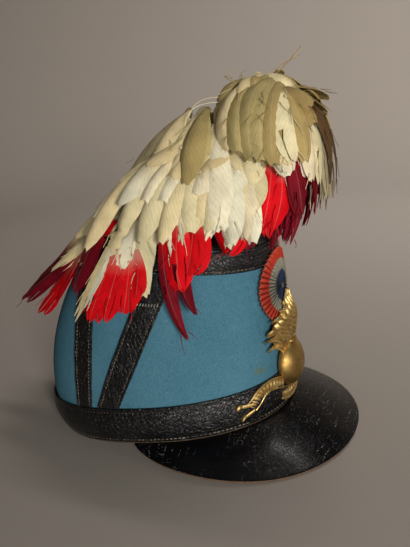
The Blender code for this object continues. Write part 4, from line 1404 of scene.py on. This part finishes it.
def model_feather(name, outline, cup, splits=(), fray=0.0, columns=FEATHER_COLUMNS):
    """A flat grid, split and narrowed row by row, then cupped along its shaft."""
    blade = new_grid(name, columns, FEATHER_ROWS)
    for column, rows in splits:
        part_vane(blade, column, rows)
    flat_grid = corners_of(blade)
    barb_tip = np.array([math.sin(value * 7.3) for value in flat_grid[:, 0] * FEATHER_COLUMNS])
    rows_before = flat_grid[:, 1].copy()
    for row in range(FEATHER_ROWS + 1):
        narrow_row(blade, row / FEATHER_ROWS, outline(row / FEATHER_ROWS))
    shape = corners_of(blade)
    for column, rows in splits:
        split_middle = (column + 0.5) / FEATHER_COLUMNS
        by_split = np.abs(flat_grid[:, 0] - split_middle) < 0.6 / FEATHER_COLUMNS
        progress = np.clip((rows_before - 1 + rows / FEATHER_ROWS) * FEATHER_ROWS / rows, 0, 1)
        closing = np.where(by_split & (progress > 0), 0.85 - 0.35 * progress, 0.0)
        widths = np.array([outline(float(share)) for share in rows_before])
        middle_now = 0.5 + (split_middle - 0.5) * widths
        shape[:, 0] += (middle_now - shape[:, 0]) * closing
    off_shaft = np.abs(flat_grid[:, 0] - 0.5) * 2
    shape[:, 1] += 0.05 * off_shaft ** 2 * rows_before * (1 - 0.5 * rows_before)
    shape[:, 1] += fray * barb_tip * np.clip((rows_before - 0.55) / 0.45, 0, 1)
    shape[:, 2] -= cup * (shape[:, 0] - 0.5) ** 2 * 4
    shape[:, 2] += 0.02 * (off_shaft < 0.01)
    shape[:, 0] -= 0.5
    put_corners(blade, shape)
    blade.hide_render = True
    return blade


model_feathers = {
    "broad": model_feather("model_broad", broad_outline, 0.22, ((1, 2),), 0.008),
    "whole": model_feather("model_whole", broad_outline, 0.26),
    "split": model_feather("model_split", broad_outline, 0.18, ((4, 3), (0, 2)), 0.012),
    "ragged": model_feather("model_ragged", broad_outline, 0.15, ((1, 4), (3, 3), (4, 5)), 0.035),
    "narrow": model_feather("model_narrow", narrow_outline, 0.20, ((4, 5),), 0.02),
    "wisp": model_feather("model_wisp", wisp_outline, 0.0, columns=1),
}
feather_corners = {name: corners_of(blade) for name, blade in model_feathers.items()}
print("Each feather has", len(model_feathers["whole"].data.polygons), "faces")

# %% [markdown]
# ## Keeping the plume off the hat
# Feathers lie over the crown's edge. A cloth simulation could drop them on it, but it would undo their
# places. This function finds how far each corner is from the wall and from the crown, and moves it out
# where it would cut into them.

# %% Clearing the hat
def clear_of_hat(points, clearance):
    """Moves points off the crown and the wall, and round the edge between them."""
    points = np.array(points, float)
    forward = -points[:, 1]
    height = np.clip(points[:, 2], 0.0, BACK_HEIGHT)
    middle = (body_front(height) - body_back(height)) / 2
    half_length = (body_front(height) + body_back(height)) / 2
    along = (forward - middle) / half_length
    half_width = body_half_width(height) * (1 - FRONT_NARROWING * np.clip(along, -1, 1))
    across = points[:, 0] / half_width
    radius = (np.abs(along) ** OVAL_POWER + np.abs(across) ** OVAL_POWER) ** (1 / OVAL_POWER)
    out = (radius - 1) * half_width - GAP - BAND_LEATHER - STRAP_GAP
    crown_top = crown_height(forward) + CROWN_LEATHER + CROWN_RISE * np.maximum(0.0, 1 - radius ** 2)
    rise = points[:, 2] - crown_top
    outward = np.stack([across / half_width, -along / half_length, np.zeros_like(along)], axis=1)
    outward = outward / np.maximum(np.linalg.norm(outward, axis=1, keepdims=True), 1e-9)
    upward = np.array([0.0, 0.0, 1.0])
    corner = (out > 0) & (rise > 0)
    reach = np.hypot(np.maximum(out, 1e-9), np.maximum(rise, 1e-9))
    round_corner = (outward * out[:, None] + upward * rise[:, None]) / reach[:, None]
    away = np.where(corner[:, None], round_corner, np.where((rise > out)[:, None], upward, outward))
    distance = np.where(corner, reach, np.maximum(rise, out))
    return points + away * np.maximum(0.0, clearance - distance)[:, None]


# %% [markdown]
# ## Feather colours
# The white feathers have yellowed to cream, olive and tan. Others are dyed scarlet or crimson. Every
# feather stores its colour in an attribute on its corners, from root to tip, and one material reads it.
# Barbs slant from the shaft to the edge, so the pattern follows the UV map.

# %% Palette
PALETTE = {
    "white": (0.82, 0.74, 0.52),
    "cream": (0.75, 0.63, 0.36),
    "olive": (0.40, 0.31, 0.125),
    "tan": (0.34, 0.24, 0.09),
    "grey": (0.36, 0.31, 0.19),
    "brown": (0.10, 0.055, 0.022),
    "red": (0.66, 0.003, 0.008),
    "crimson": (0.17, 0.004, 0.012),
    "pink": (0.66, 0.26, 0.19),
}


def make_feather_material(name):
    made, tree, shader = new_material(name, 0.62)
    own = tree.nodes.new("ShaderNodeAttribute")
    own.attribute_name = "feather_colour"
    _, across, along = sheet_place(tree)
    place = object_place(tree)
    off_shaft = maths(tree, "ABSOLUTE", maths(tree, "SUBTRACT", across, 0.5))
    slant = maths(tree, "SUBTRACT", along, maths(tree, "MULTIPLY", off_shaft, 0.55))
    wobble = maths(tree, "MULTIPLY", noise(tree, place, 130, 3.0), 0.10)
    phase = maths(tree, "ADD", slant, wobble)
    barbs = maths(tree, "SINE", maths(tree, "MULTIPLY", phase, 330.0))
    bundles = maths(tree, "SINE", maths(tree, "MULTIPLY", phase, 84.0))
    fine = ramp(tree, maths(tree, "MULTIPLY_ADD", barbs, 0.5), (0.0, 0.88), (1.0, 1.0))
    clumps = ramp(tree, maths(tree, "MULTIPLY_ADD", bundles, 0.5), (0.0, 0.93), (0.5, 1.0))
    shaft = ramp(tree, off_shaft, (0.010, 0.22), (0.024, 0.0))
    soil = ramp(tree, noise(tree, place, 75, 5.0), (0.30, 0.74), (0.62, 1.0))
    shaded = mixed(tree, 1.0, own.outputs["Color"], fine, "MULTIPLY")
    shaded = mixed(tree, 1.0, shaded, clumps, "MULTIPLY")
    shaded = mixed(tree, 1.0, shaded, soil, "MULTIPLY")
    lit = mixed(tree, shaft, shaded, mixed(tree, 0.35, shaded, (0.85, 0.78, 0.60)))
    plug(tree, lit, shader.inputs["Base Color"])
    shader.inputs["Specular IOR Level"].default_value = 0.08
    first = raised(tree, shader, barbs, 0.00008, 0.5)
    raised(tree, shader, bundles, 0.00006, 0.5, first)
    return made


feather_material = make_feather_material("plume_feather")
print("The feather material has", len(feather_material.node_tree.nodes), "nodes")

# %% [markdown]
# ## Laying one feather
# A feather's root, middle and tip give a smooth path. A Curve modifier could bend the blade, but not
# choose which face looks out. So the blade's corners are set along the path in code, with its outer
# face turned away from the plume's core, and moved clear of the hat. Barbs that have come loose along
# its edges are thin wisps, laid in the same way.

# %% Laying a feather
FEATHER_THICKNESS = 0.00030
chance = random.Random(11)


def smooth_step(value):
    value = np.clip(value, 0, 1)
    return value * value * (3 - 2 * value)


def feather_frame(root, middle, tip, core, share):
    """Places on a feather's path, with the directions along it, over it and away from the core."""
    root, middle, tip, core = (np.array(value, float) for value in (root, middle, tip, core))
    line = root * (1 - share) ** 2 + middle * 2 * share * (1 - share) + tip * share ** 2
    run = unit((middle - root) * (1 - share) * 2 + (tip - middle) * 2 * share + 1e-9)
    away = line - core
    away = unit(away - run * np.sum(away * run, axis=1, keepdims=True))
    return line, run, np.cross(run, away), away


def lay_feather(shape, root, middle, tip, width, core, low, high, change=(0.35, 0.6), twist=0.0,
                lift=0.0):
    """Bends a copy of a model feather along a path, coloured from low at its root to high at its tip."""
    corners = feather_corners[shape]
    share = corners[:, 1:2]
    line, run, over, away = feather_frame(root, middle, tip, core, share)
    turned = over * math.cos(twist) + away * math.sin(twist)
    proud = away * math.cos(twist) - over * math.sin(twist)
    spots = line + turned * corners[:, 0:1] * width + proud * corners[:, 2:3] * width
    spots = clear_of_hat(spots + proud * lift, 0.0012 + lift)
    copy = model_feathers[shape].copy()
    copy.data = model_feathers[shape].data.copy()
    bpy.context.scene.collection.objects.link(copy)
    copy.data.vertices.foreach_set("co", spots.ravel())
    shade = 1 + chance.uniform(-0.10, 0.08)
    warm = 1 + chance.uniform(-0.06, 0.06)
    tint = np.array([1.0, warm, warm ** 2]) * shade
    mix = smooth_step((share - change[0]) / (change[1] - change[0]))
    colour = (np.array(low) * (1 - mix) + np.array(high) * mix) * tint
    colours = np.concatenate([np.clip(colour, 0, 1), np.ones((len(colour), 1))], axis=1)
    stored = copy.data.color_attributes.new("feather_colour", "FLOAT_COLOR", "POINT")
    stored.data.foreach_set("color", colours.astype(np.float32).ravel())
    return copy


BARB_WIDTH = 0.0006
BARB_LENGTH = (0.006, 0.014)


def loose_barbs(points, width, core, colour, count, lift):
    """Thin barbs that have come loose along a feather's edges and its tip."""
    share = np.array([[chance.uniform(0.30, 1.0)] for _ in range(count)])
    made = []
    for place, run, over, away in zip(*feather_frame(*points, core, share)):
        edge = chance.choice((-1, 1)) * width
        length = chance.uniform(*BARB_LENGTH)
        root = place + over * edge * 0.25
        middle = root + run * length * 0.5 + over * edge * chance.uniform(0.10, 0.25)
        tip = root + run * length + over * edge * chance.uniform(0.10, 0.45) + away * length * 0.05
        made.append(lay_feather("wisp", root, middle, tip, BARB_WIDTH, core, colour, colour, lift=lift))
    return made


def finish_feathers(name, feathers, nodes=()):
    """Joins feathers, gives them their thickness and hands them to the frame."""
    whole = joined(name, feathers)
    whole.hide_render = False
    whole.data.materials.append(feather_material)
    give_wall(whole, FEATHER_THICKNESS, 0)
    finish_piece(whole, nodes, 50)
    return whole


def hat_place(forward, side, up):
    """A place in millimetres: forward, to the left and up from the middle of the rim."""
    return np.array([side, -forward, up]) / 1000


# %% [markdown]
# ## The feathers that show most
# A formula could scatter them, but the eye knows this plume by its single feathers. So these were placed
# one by one: the tuft that curls over the top, the broad feathers of the mantle, and the long white,
# scarlet and crimson ones that hang past the crown. Each row gives its group, shape, colour and width,
# then its root, middle and tip as forward, side and up in millimetres. The far side of the hat can't be
# seen in the photo, so it gets a mirrored set with small changes.

# %% Table of placed feathers
PLACED = (
    ("tuft", "broad", "cream", 15, (113, -2, 238), (69, -30, 201), (120, -40, 186)),
    ("tuft", "broad", "cream", 15, (114, -4, 238), (77, -30, 213), (115, -42, 193)),
    ("tuft", "broad", "cream", 18, (118, -6, 238), (92, -34, 232), (102, -40, 198)),
    ("tuft", "broad", "olive", 20, (123, -8, 236), (104, -40, 232), (108, -44, 195)),
    ("tuft", "broad", "olive", 20, (126, -10, 234), (115, -44, 233), (116, -46, 190)),
    ("tuft", "broad", "olive", 18, (128, -12, 232), (123, -46, 226), (123, -46, 187)),
    ("tuft", "broad", "olive", 16, (130, -12, 231), (132, -46, 222), (129, -46, 186)),
    ("tuft", "broad", "cream", 17, (129, -12, 230), (141, -44, 218), (140, -42, 184)),
    ("tuft", "broad", "olive", 13, (130, -10, 230), (150, -40, 214), (146, -36, 182)),
    ("tuft", "broad", "white", 11, (127, -38, 198), (133, -42, 190), (138, -40, 177)),
    ("tuft", "broad", "white", 9, (106, -34, 194), (109, -38, 188), (120, -40, 184)),
    ("tuft", "broad", "tan", 17, (128, -6, 226), (141, -22, 229), (151, -16, 215)),
    ("tuft", "broad", "tan", 20, (129, -10, 224), (144, -27, 224), (150, -20, 206)),
    ("tuft", "broad", "tan", 18, (131, -14, 221), (141, -31, 216), (143, -27, 197)),
    ("tuft", "broad", "grey", 12, (137, 4, 217), (158, 4, 204), (150, 2, 152)),
    ("tuft", "broad", "cream", 13, (140, 0, 216), (155, -8, 201), (146, -10, 164)),
    ("tuft", "broad", "white", 12, (139, -10, 214), (149, -20, 196), (144, -20, 168)),
    ("tuft", "narrow", "brown", 9, (140, 8, 219), (161, 8, 200), (153, 6, 160)),
    ("tuft", "narrow", "brown", 7, (140, 6, 217), (158, 2, 196), (146, 0, 149)),
    ("tuft", "narrow", "crimson", 7, (142, -12, 186), (148, -10, 172), (139, -8, 146)),
    ("tuft", "narrow", "white", 5, (139, -16, 187), (138, -14, 167), (130, -12, 149)),
    ("tuft", "narrow", "grey", 9, (146, -8, 205), (155, -4, 183), (144, -4, 151)),
    ("under", "broad", "red", 15, (122, -26, 191), (124, -32, 173), (111, -34, 142)),
    ("under", "broad", "red", 13, (114, -24, 182), (115, -34, 161), (110, -34, 138)),
    ("under", "broad", "red", 15, (125, -24, 185), (131, -30, 164), (117, -32, 141)),
    ("under", "broad", "crimson", 12, (133, -26, 189), (138, -28, 174), (135, -24, 147)),
    ("under", "narrow", "crimson", 11, (137, -20, 185), (141, -22, 161), (124, -22, 128)),
    ("under", "broad", "crimson", 10, (128, -18, 179), (137, -22, 157), (120, -22, 130)),
    ("under", "narrow", "crimson", 9, (118, -14, 159), (120, -20, 145), (108, -16, 123)),
    ("mantle", "broad", "olive", 17, (79, -12, 222), (73, -42, 215), (71, -55, 180)),
    ("mantle", "broad", "cream", 19, (64, -10, 224), (43, -34, 210), (39, -46, 174)),
    ("mantle", "broad", "cream", 20, (72, -14, 220), (56, -42, 203), (55, -54, 171)),
    ("mantle", "broad", "cream", 22, (83, -20, 212), (77, -52, 194), (78, -62, 152)),
    ("mantle", "broad", "white", 20, (89, -24, 208), (89, -56, 188), (89, -64, 149)),
    ("mantle", "broad", "white", 15, (93, -26, 202), (100, -56, 179), (99, -62, 139)),
    ("mantle", "broad", "white", 13, (98, -26, 198), (111, -50, 176), (107, -56, 140)),
    ("mantle", "broad", "cream", 13, (100, -26, 194), (118, -46, 177), (112, -50, 154)),
    ("mantle", "broad", "white", 13, (81, -30, 205), (83, -58, 175), (81, -64, 144)),
    ("mantle", "broad", "grey", 15, (58, -6, 223), (24, -26, 208), (6, -36, 169)),
    ("mantle", "broad", "cream", 14, (61, -8, 221), (33, -30, 200), (19, -42, 163)),
    ("mantle", "broad", "cream", 18, (62, -30, 201), (54, -52, 180), (58, -60, 157)),
    ("mantle", "broad", "cream", 24, (66, -26, 208), (59, -54, 190), (60, -65, 156)),
    ("mantle", "broad", "cream", 22, (76, -24, 206), (71, -57, 186), (73, -67, 150)),
    ("mantle", "broad", "white", 18, (50, -24, 206), (40, -46, 188), (42, -56, 152)),
    ("tail", "broad", "cream", 18, (48, -34, 193), (27, -58, 160), (32, -64, 112)),
    ("tail", "broad", "cream", 15, (28, -30, 185), (11, -50, 160), (6, -60, 126)),
    ("tail", "broad", "white", 12, (35, -44, 168), (16, -60, 141), (16, -62, 129)),
    ("tail", "narrow", "grey", 8, (15, -22, 185), (-6, -36, 165), (-31, -40, 146)),
    ("tail", "broad", "cream", 10, (18, -24, 178), (-16, -38, 157), (-63, -40, 127)),
    ("tail", "broad", "cream", 9, (11, -26, 174), (-19, -40, 147), (-50, -42, 133)),
    ("tail", "narrow", "cream", 9, (4, -28, 169), (-6, -46, 150), (-29, -48, 133)),
    ("tail", "broad", "crimson", 12, (-24, -36, 143), (-63, -40, 125), (-104, -36, 104)),
    ("tail", "broad", "red", 14, (-26, -38, 139), (-63, -42, 116), (-87, -40, 94)),
    ("tail", "broad", "red", 11, (-21, -40, 141), (-49, -44, 119), (-62, -44, 105)),
    ("tail", "broad", "crimson", 16, (3, -40, 158), (-19, -54, 146), (-30, -56, 115)),
    ("tail", "broad", "red", 12, (16, -52, 147), (-3, -66, 119), (-15, -68, 95)),
    ("tail", "broad", "red", 15, (20, -54, 144), (6, -68, 118), (-2, -70, 95)),
    ("tail", "broad", "red", 15, (24, -56, 142), (19, -68, 117), (14, -70, 99)),
    ("tail", "broad", "red", 11, (28, -58, 140), (30, -68, 122), (25, -70, 108)),
    ("tail", "narrow", "cream", 6, (5, -50, 143), (-8, -62, 123), (-29, -66, 98)),
    ("tail", "narrow", "white", 6, (8, -52, 143), (-4, -64, 122), (-20, -68, 103)),
    ("tail", "narrow", "crimson", 11, (52, -58, 155), (46, -74, 114), (61, -76, 81)),
    ("tail", "narrow", "crimson", 7, (56, -60, 145), (61, -74, 113), (70, -76, 97)),
    ("tail", "broad", "red", 19, (68, -58, 167), (60, -70, 140), (64, -74, 115)),
    ("tail", "broad", "red", 16, (77, -58, 166), (76, -68, 140), (69, -72, 123)),
    ("tail", "narrow", "white", 5, (55, -56, 168), (57, -66, 149), (58, -68, 133)),
    ("tail", "narrow", "white", 5, (64, -56, 167), (69, -68, 155), (68, -68, 143)),
    ("under", "broad", "red", 12, (85, -52, 164), (86, -56, 143), (93, -58, 133)),
    ("under", "broad", "red", 12, (106, -46, 160), (104, -50, 140), (92, -54, 131)),
    ("under", "broad", "crimson", 9, (111, -40, 156), (108, -44, 141), (100, -44, 131)),
)
RED_ROOTS = {"red": "pink", "crimson": "red"}
END_SHAPES = {"red": ("ragged", "split"), "crimson": ("ragged", "split")}
CORES = {
    "tuft": hat_place(112, 0, 196),
    "under": hat_place(108, 0, 175),
    "mantle": None,
    "tail": None,
}


def core_of(group, middle):
    """The place that a feather's outer face looks away from."""
    if CORES[group] is not None:
        return CORES[group]
    return np.array([0.0, middle[1] - 0.012, middle[2] - 0.050])


PLACED_LIFT = 0.0025
COPIES = ((1, 0.0, PLACED_LIFT), (1, 4.0, 0.0), (-1, 3.0, PLACED_LIFT), (-1, 6.0, 0.0))
BARB_LIFT = 0.0006
GROUP_WIDTH = {"tuft": 1.10, "under": 1.05, "mantle": 1.35, "tail": 1.15}
GROUP_TWIST = {"tuft": 0.14, "under": 0.30, "mantle": 0.12, "tail": 0.12}
BARBS_PER_FEATHER = {"tuft": 3, "under": 3, "mantle": 4, "tail": 3}
groups = {"tuft": [], "under": [], "mantle": [], "tail": []}
for row in PLACED:
    group, shape, colour, width, root, middle, tip = row
    for side, jitter, lift in COPIES:
        points = []
        for point in (root, middle, tip):
            place_now = [point[0], point[1] * side, point[2]]
            place_now = [value + chance.uniform(-jitter, jitter) for value in place_now]
            points.append(hat_place(*place_now))
        chosen = shape
        if shape == "broad":
            chosen = chance.choice(END_SHAPES.get(colour, ("broad", "whole", "split", "whole")))
        high = PALETTE[colour]
        low = PALETTE[RED_ROOTS.get(colour, colour)]
        wide = width * GROUP_WIDTH[group] / 1000
        core = core_of(group, points[1])
        twist = chance.uniform(-1, 1) * GROUP_TWIST[group]
        groups[group].append(lay_feather(chosen, *points, wide, core, low, high, (0.05, 0.40), twist,
                                         lift))
        if lift:
            groups[group] += loose_barbs(points, wide, core, high, BARBS_PER_FEATHER[group],
                                         lift + BARB_LIFT)
print("Placed feathers:", {name: len(feathers) for name, feathers in groups.items()})

# %% [markdown]
# ## The feathers below them
# Under the placed ones, rows of feathers overlap like tiles, so that nothing shows through. They follow
# a fan of paths that leave the head and droop over the hat, much as the solid plume's locks do. Short
# ones fall round the head.

# %% Fan of paths
PLUME_BACK_REACH = 0.2470
PLUME_FALL = 0.1300
FAN = (
    {"turn": 0, "reach": 0.98, "fall": 0.78, "arch": 0.50, "lift": -0.20},
    {"turn": 13, "reach": 0.84, "fall": 0.88, "arch": 0.60, "lift": 0.06},
    {"turn": 23, "reach": 0.70, "fall": 0.86, "arch": 0.72, "lift": 0.28},
    {"turn": 34, "reach": 0.54, "fall": 0.80, "arch": 0.86, "lift": 0.30},
    {"turn": 44, "reach": 0.44, "fall": 0.78, "arch": 0.95, "lift": 0.20},
    {"turn": 56, "reach": 0.37, "fall": 0.76, "arch": 1.00, "lift": 0.12},
    {"turn": 76, "reach": 0.27, "fall": 0.56, "arch": 0.95, "lift": 0.06},
    {"turn": 96, "reach": 0.20, "fall": 0.50, "arch": 0.95, "lift": 0.04},
)


def fan_path(turn, share, raise_by):
    """A place along the path at a turn from the back, raised a little off the layer below."""
    size = abs(turn)
    turns = [row["turn"] for row in FAN]
    columns = {key: np.interp(size, turns, [row[key] for row in FAN]) for key in FAN[0]}
    angle = math.radians(turn)
    outward = np.array([math.sin(angle), math.cos(angle), 0.0])
    head = np.array(PLUME_HEAD)
    root = head + np.array([0, 0, 0.002])
    reach = outward * PLUME_BACK_REACH * columns["reach"]
    middle = root + reach * columns["arch"] + np.array([0, 0, PLUME_FALL * columns["lift"]])
    tip = head + reach - np.array([0, 0, PLUME_FALL * columns["fall"]])
    point = root * (1 - share) ** 2 + middle * 2 * share * (1 - share) + tip * share ** 2
    point = point + np.array([0, 0, 1]) * raise_by
    return clear_of_hat(point[None, :], 0.003 + max(0.0, raise_by))[0]


# %% Rows of the mantle and the tail
SEEN_SIDE_DEPTH = 0.011
LAYERS = (
    {"group": "tail", "from": 6, "to": 84, "start": 0.50, "end": 0.95, "count": 14, "width": 0.0180,
     "raise": 0.000, "shape": "ragged", "low": "cream", "high": "red", "change": (0.35, 0.55)},
    {"group": "tail", "from": -7, "to": 16, "start": 0.46, "end": 0.98, "count": 7, "width": 0.0180,
     "raise": 0.001, "shape": "split", "low": "cream", "high": "crimson", "change": (0.45, 0.65)},
    {"group": "tail", "from": -88, "to": 88, "start": 0.36, "end": 0.74, "count": 21, "width": 0.0210,
     "raise": 0.001, "shape": "whole", "low": "cream", "high": "cream", "change": (0.3, 0.9)},
    {"group": "mantle", "from": -92, "to": 92, "start": 0.22, "end": 0.62, "count": 19, "width": 0.0240,
     "raise": 0.003, "shape": "whole", "low": "cream", "high": "white", "change": (0.3, 0.9)},
    {"group": "mantle", "from": -96, "to": 96, "start": 0.10, "end": 0.48, "count": 17, "width": 0.0250,
     "raise": 0.005, "shape": "whole", "low": "cream", "high": "cream", "change": (0.3, 0.9)},
    {"group": "mantle", "from": -96, "to": 96, "start": 0.00, "end": 0.32, "count": 15, "width": 0.0230,
     "raise": 0.007, "shape": "broad", "low": "olive", "high": "cream", "change": (0.1, 0.6)},
)
for layer in LAYERS:
    for number in range(layer["count"]):
        turn = between(layer["from"], layer["to"], number / (layer["count"] - 1))
        turn += chance.uniform(-3, 3)
        start = layer["start"] + chance.uniform(-0.03, 0.03)
        end = layer["end"] + chance.uniform(-0.06, 0.02)
        sunk = SEEN_SIDE_DEPTH if -90 < turn < -12 else 0.0
        points = [fan_path(turn, share, layer["raise"] - sunk)
                  for share in (start, (start + end) / 2, end)]
        middle = points[1] * 2 - (points[0] + points[2]) / 2
        groups[layer["group"]].append(lay_feather(
            layer["shape"], points[0], middle, points[2], layer["width"] * chance.uniform(0.85, 1.15),
            core_of("mantle", middle), PALETTE[layer["low"]], PALETTE[layer["high"]], layer["change"],
            chance.uniform(-0.25, 0.25)))
print("With the rows:", {name: len(feathers) for name, feathers in groups.items()})

# %% Short feathers round the head
HEAD_ROWS = (
    {"group": "under", "count": 18, "root": 0.010, "rise": -0.002, "reach": 0.024, "fall": 0.048,
     "width": 0.013, "colours": ("red", "crimson", "red", "white")},
    {"group": "under", "count": 14, "root": 0.006, "rise": 0.004, "reach": 0.030, "fall": 0.040,
     "width": 0.014, "colours": ("red", "crimson", "cream")},
    {"group": "tuft", "count": 16, "root": 0.006, "rise": 0.020, "reach": 0.034, "fall": 0.030,
     "width": 0.016, "colours": ("cream", "white", "olive")},
    {"group": "tuft", "count": 14, "root": 0.004, "rise": 0.030, "reach": 0.036, "fall": 0.014,
     "width": 0.017, "colours": ("olive", "cream", "olive")},
    {"group": "tuft", "count": 9, "root": 0.002, "rise": 0.036, "reach": 0.030, "fall": -0.008,
     "width": 0.017, "colours": ("olive", "cream")},
)
for row in HEAD_ROWS:
    for number in range(row["count"]):
        angle = 2 * math.pi * (number + chance.uniform(-0.3, 0.3)) / row["count"]
        outward = np.array([math.sin(angle), math.cos(angle), 0.0])
        head = np.array(PLUME_HEAD)
        root = head + outward * row["root"] + np.array([0, 0, row["rise"]])
        middle = head + outward * row["reach"] * 1.15 + np.array([0, 0, row["rise"] + 0.004])
        reach = row["reach"] * chance.uniform(0.85, 1.05)
        tip = head + outward * reach - np.array([0, 0, row["fall"]])
        high = PALETTE[row["colours"][number % len(row["colours"])]]
        core = head - np.array([0, 0, 0.01])
        groups[row["group"]].append(lay_feather(
            "whole", root, middle, tip, row["width"], core, high, high, (0.3, 0.6),
            chance.uniform(-0.3, 0.3)))
print("With the head:", {name: len(feathers) for name, feathers in groups.items()})

# %% [markdown]
# Dark red down hides the stem's foot, and single wisps stand out of the tuft against the background.

# %% Stem feathers and wisps
for number in range(16):
    angle = number * 2.4
    outward = np.array([math.sin(angle), math.cos(angle), 0.0])
    height = between(0.015, 0.060, (number % 8) / 7)
    foot = np.array(PLUME_FOOT) + (np.array(PLUME_HEAD) - np.array(PLUME_FOOT)) * height / 0.077
    high = PALETTE[("crimson", "crimson", "brown")[number % 3]]
    groups["under"].append(lay_feather("narrow", foot + outward * 0.002, foot + outward * 0.010,
                                       foot + outward * 0.008 - np.array([0, 0, 0.020]), 0.0065,
                                       foot, high, high))

WISPS = (
    (0.8, (116, -4, 234), (125, -4, 244), (143, -2, 247), "olive"),
    (0.6, (117, -3, 234), (130, -2, 240), (146, 2, 252), "olive"),
    (0.8, (104, -8, 232), (92, -14, 248), (104, -10, 246), "olive"),
    (1.0, (108, -6, 232), (88, -16, 248), (100, -16, 242), "olive"),
    (1.6, (92, -14, 230), (74, -22, 236), (68, -24, 222), "cream"),
    (1.4, (88, -16, 228), (66, -24, 232), (64, -26, 214), "white"),
)
for width, root, middle, tip, colour in WISPS:
    for side in (1, -1):
        points = [hat_place(point[0], point[1] * side, point[2]) for point in (root, middle, tip)]
        groups["tuft"].append(lay_feather("wisp", *points, width / 1000, CORES["tuft"],
                                          PALETTE[colour], PALETTE[colour]))

finish_feathers("plume_tuft_feathers", groups["tuft"])
finish_feathers("plume_mantle_feathers", groups["mantle"], ["plume"])
finish_feathers("plume_tail_feathers", groups["tail"])
finish_feathers("plume_under_feathers", groups["under"])
for blade in model_feathers.values():
    bpy.data.objects.remove(blade)

# %% [markdown]
# The stem is a wire bound with dark thread, from its socket to the head. A soft core of down fills the
# head, so that no light shows through between the feathers. Its down is coloured darker than the cream
# feathers, as painted shade for the hollow inside the plume.

# %% Stem and core
def stem_place(across, up):
    foot = np.array(PLUME_FOOT)
    head = np.array(PLUME_HEAD)
    middle = foot + np.array([0, 0.002, 0.030])
    share = up[:, None]
    line = foot * (1 - share) ** 2 + middle * 2 * share * (1 - share) + head * share ** 2
    angle = across * 2 * math.pi
    radius = 0.0022 + 0.0002 * np.sin(up * 240)
    ring = np.stack([np.cos(angle), np.sin(angle), np.zeros_like(angle)], axis=1)
    return line + ring * radius[:, None]


END_REACH = 0.0001
stem = wrapped("plume_stem", 12, 60, stem_place, True)
select_corners(stem, lambda corner: (corner.z < PLUME_FOOT.z + END_REACH
                                     or corner.z > PLUME_HEAD.z - END_REACH))
bpy.ops.mesh.edge_face_add()
bpy.ops.object.mode_set(mode="OBJECT")
face_outward(stem)
stem.data.materials.append(black_thread)
finish_piece(stem)


def make_shaded_down():
    made, tree, shader = new_material("plume_down_painted_shade", 0.9)
    place = object_place(tree)
    fluff = noise(tree, place, 500, 5.0, 0.7)
    # Painted shade: the down is darker than the cream feathers, for the hollow inside the plume.
    plug(tree, ramp(tree, fluff, (0.3, (0.120, 0.070, 0.040)), (0.7, (0.420, 0.320, 0.200))),
         shader.inputs["Base Color"])
    raised(tree, shader, fluff, 0.001, 0.9)
    return made


nothing_selected()
bpy.ops.mesh.primitive_ico_sphere_add(subdivisions=4, radius=0.025)
down = bpy.context.object
down.name = "plume_head_down"
fluffy = corners_of(down)
ripple = 1 + 0.06 * np.sin(fluffy[:, 0] * 700) * np.sin(fluffy[:, 1] * 650) * np.sin(fluffy[:, 2] * 720)
put_corners(down, fluffy * ripple[:, None] * np.array([1, 1, 1.15]) + np.array(PLUME_HEAD))
down.data.materials.append(make_shaded_down())
finish_piece(down)

# %% [markdown]
# ## Floor and light
# The hat rests on a plain pale floor that rises into a plain wall far behind it. A sky texture would
# light it evenly, but square lamps draw the long highlights of waxed leather. The key lamp stands beside
# the camera, a low one lays a shine along the leather, and a third fills the front. A weak one is above,
# and the last one lights the wall behind.

# %% Floor
nothing_selected()
bpy.ops.mesh.primitive_grid_add(x_subdivisions=60, y_subdivisions=60, size=8)
floor = bpy.context.object
floor.name = "studio_floor"
sweep = corners_of(floor)
distance = np.hypot(sweep[:, 0], sweep[:, 1])
sweep[:, 2] = np.maximum(0.0, distance - 1.2) ** 2 * 0.9
put_corners(floor, sweep)
bpy.ops.object.shade_smooth()
floor_finish, floor_tree, floor_shader = new_material("pale_floor", 0.9)
floor_shader.inputs["Base Color"].default_value = (0.27, 0.24, 0.212, 1.0)
floor.data.materials.append(floor_finish)


# %% Lights
def add_lamp(name, place, target, size, power, colour):
    """A soft square lamp that points at the hat."""
    data = bpy.data.lights.new(name, "AREA")
    data.size = size
    data.energy = power
    data.color = colour
    lamp = bpy.data.objects.new(name, data)
    bpy.context.scene.collection.objects.link(lamp)
    lamp.location = place
    lamp.rotation_euler = (Vector(target) - Vector(place)).to_track_quat("-Z", "Y").to_euler()


MIDDLE = (0.0, 0.0, 0.12)
add_lamp("key_lamp", (-1.00, -0.80, 0.38), MIDDLE, 0.22, 13.5, (1.0, 0.96, 0.90))
add_lamp("shine_lamp", (-1.16, -0.32, 0.18), MIDDLE, 0.30, 2.6, (0.96, 0.98, 1.0))
add_lamp("front_lamp", (-0.50, -1.15, 0.24), MIDDLE, 0.30, 2.0, (1.0, 0.98, 0.95))
add_lamp("top_lamp", (0.2, 0.0, 1.2), MIDDLE, 0.9, 0.8, (1.0, 0.98, 0.95))
add_lamp("backdrop_lamp", (0.50, -0.35, 1.50), (2.2, -0.4, 0.5), 0.8, 38.0, (1.0, 0.95, 0.90))

world = bpy.data.worlds.new("studio")
bpy.context.scene.world = world
world.use_nodes = True
world.node_tree.nodes["Background"].inputs["Color"].default_value = (0.80, 0.76, 0.72, 1.0)
world.node_tree.nodes["Background"].inputs["Strength"].default_value = 0.03
bpy.context.scene.view_settings.view_transform = "Standard"
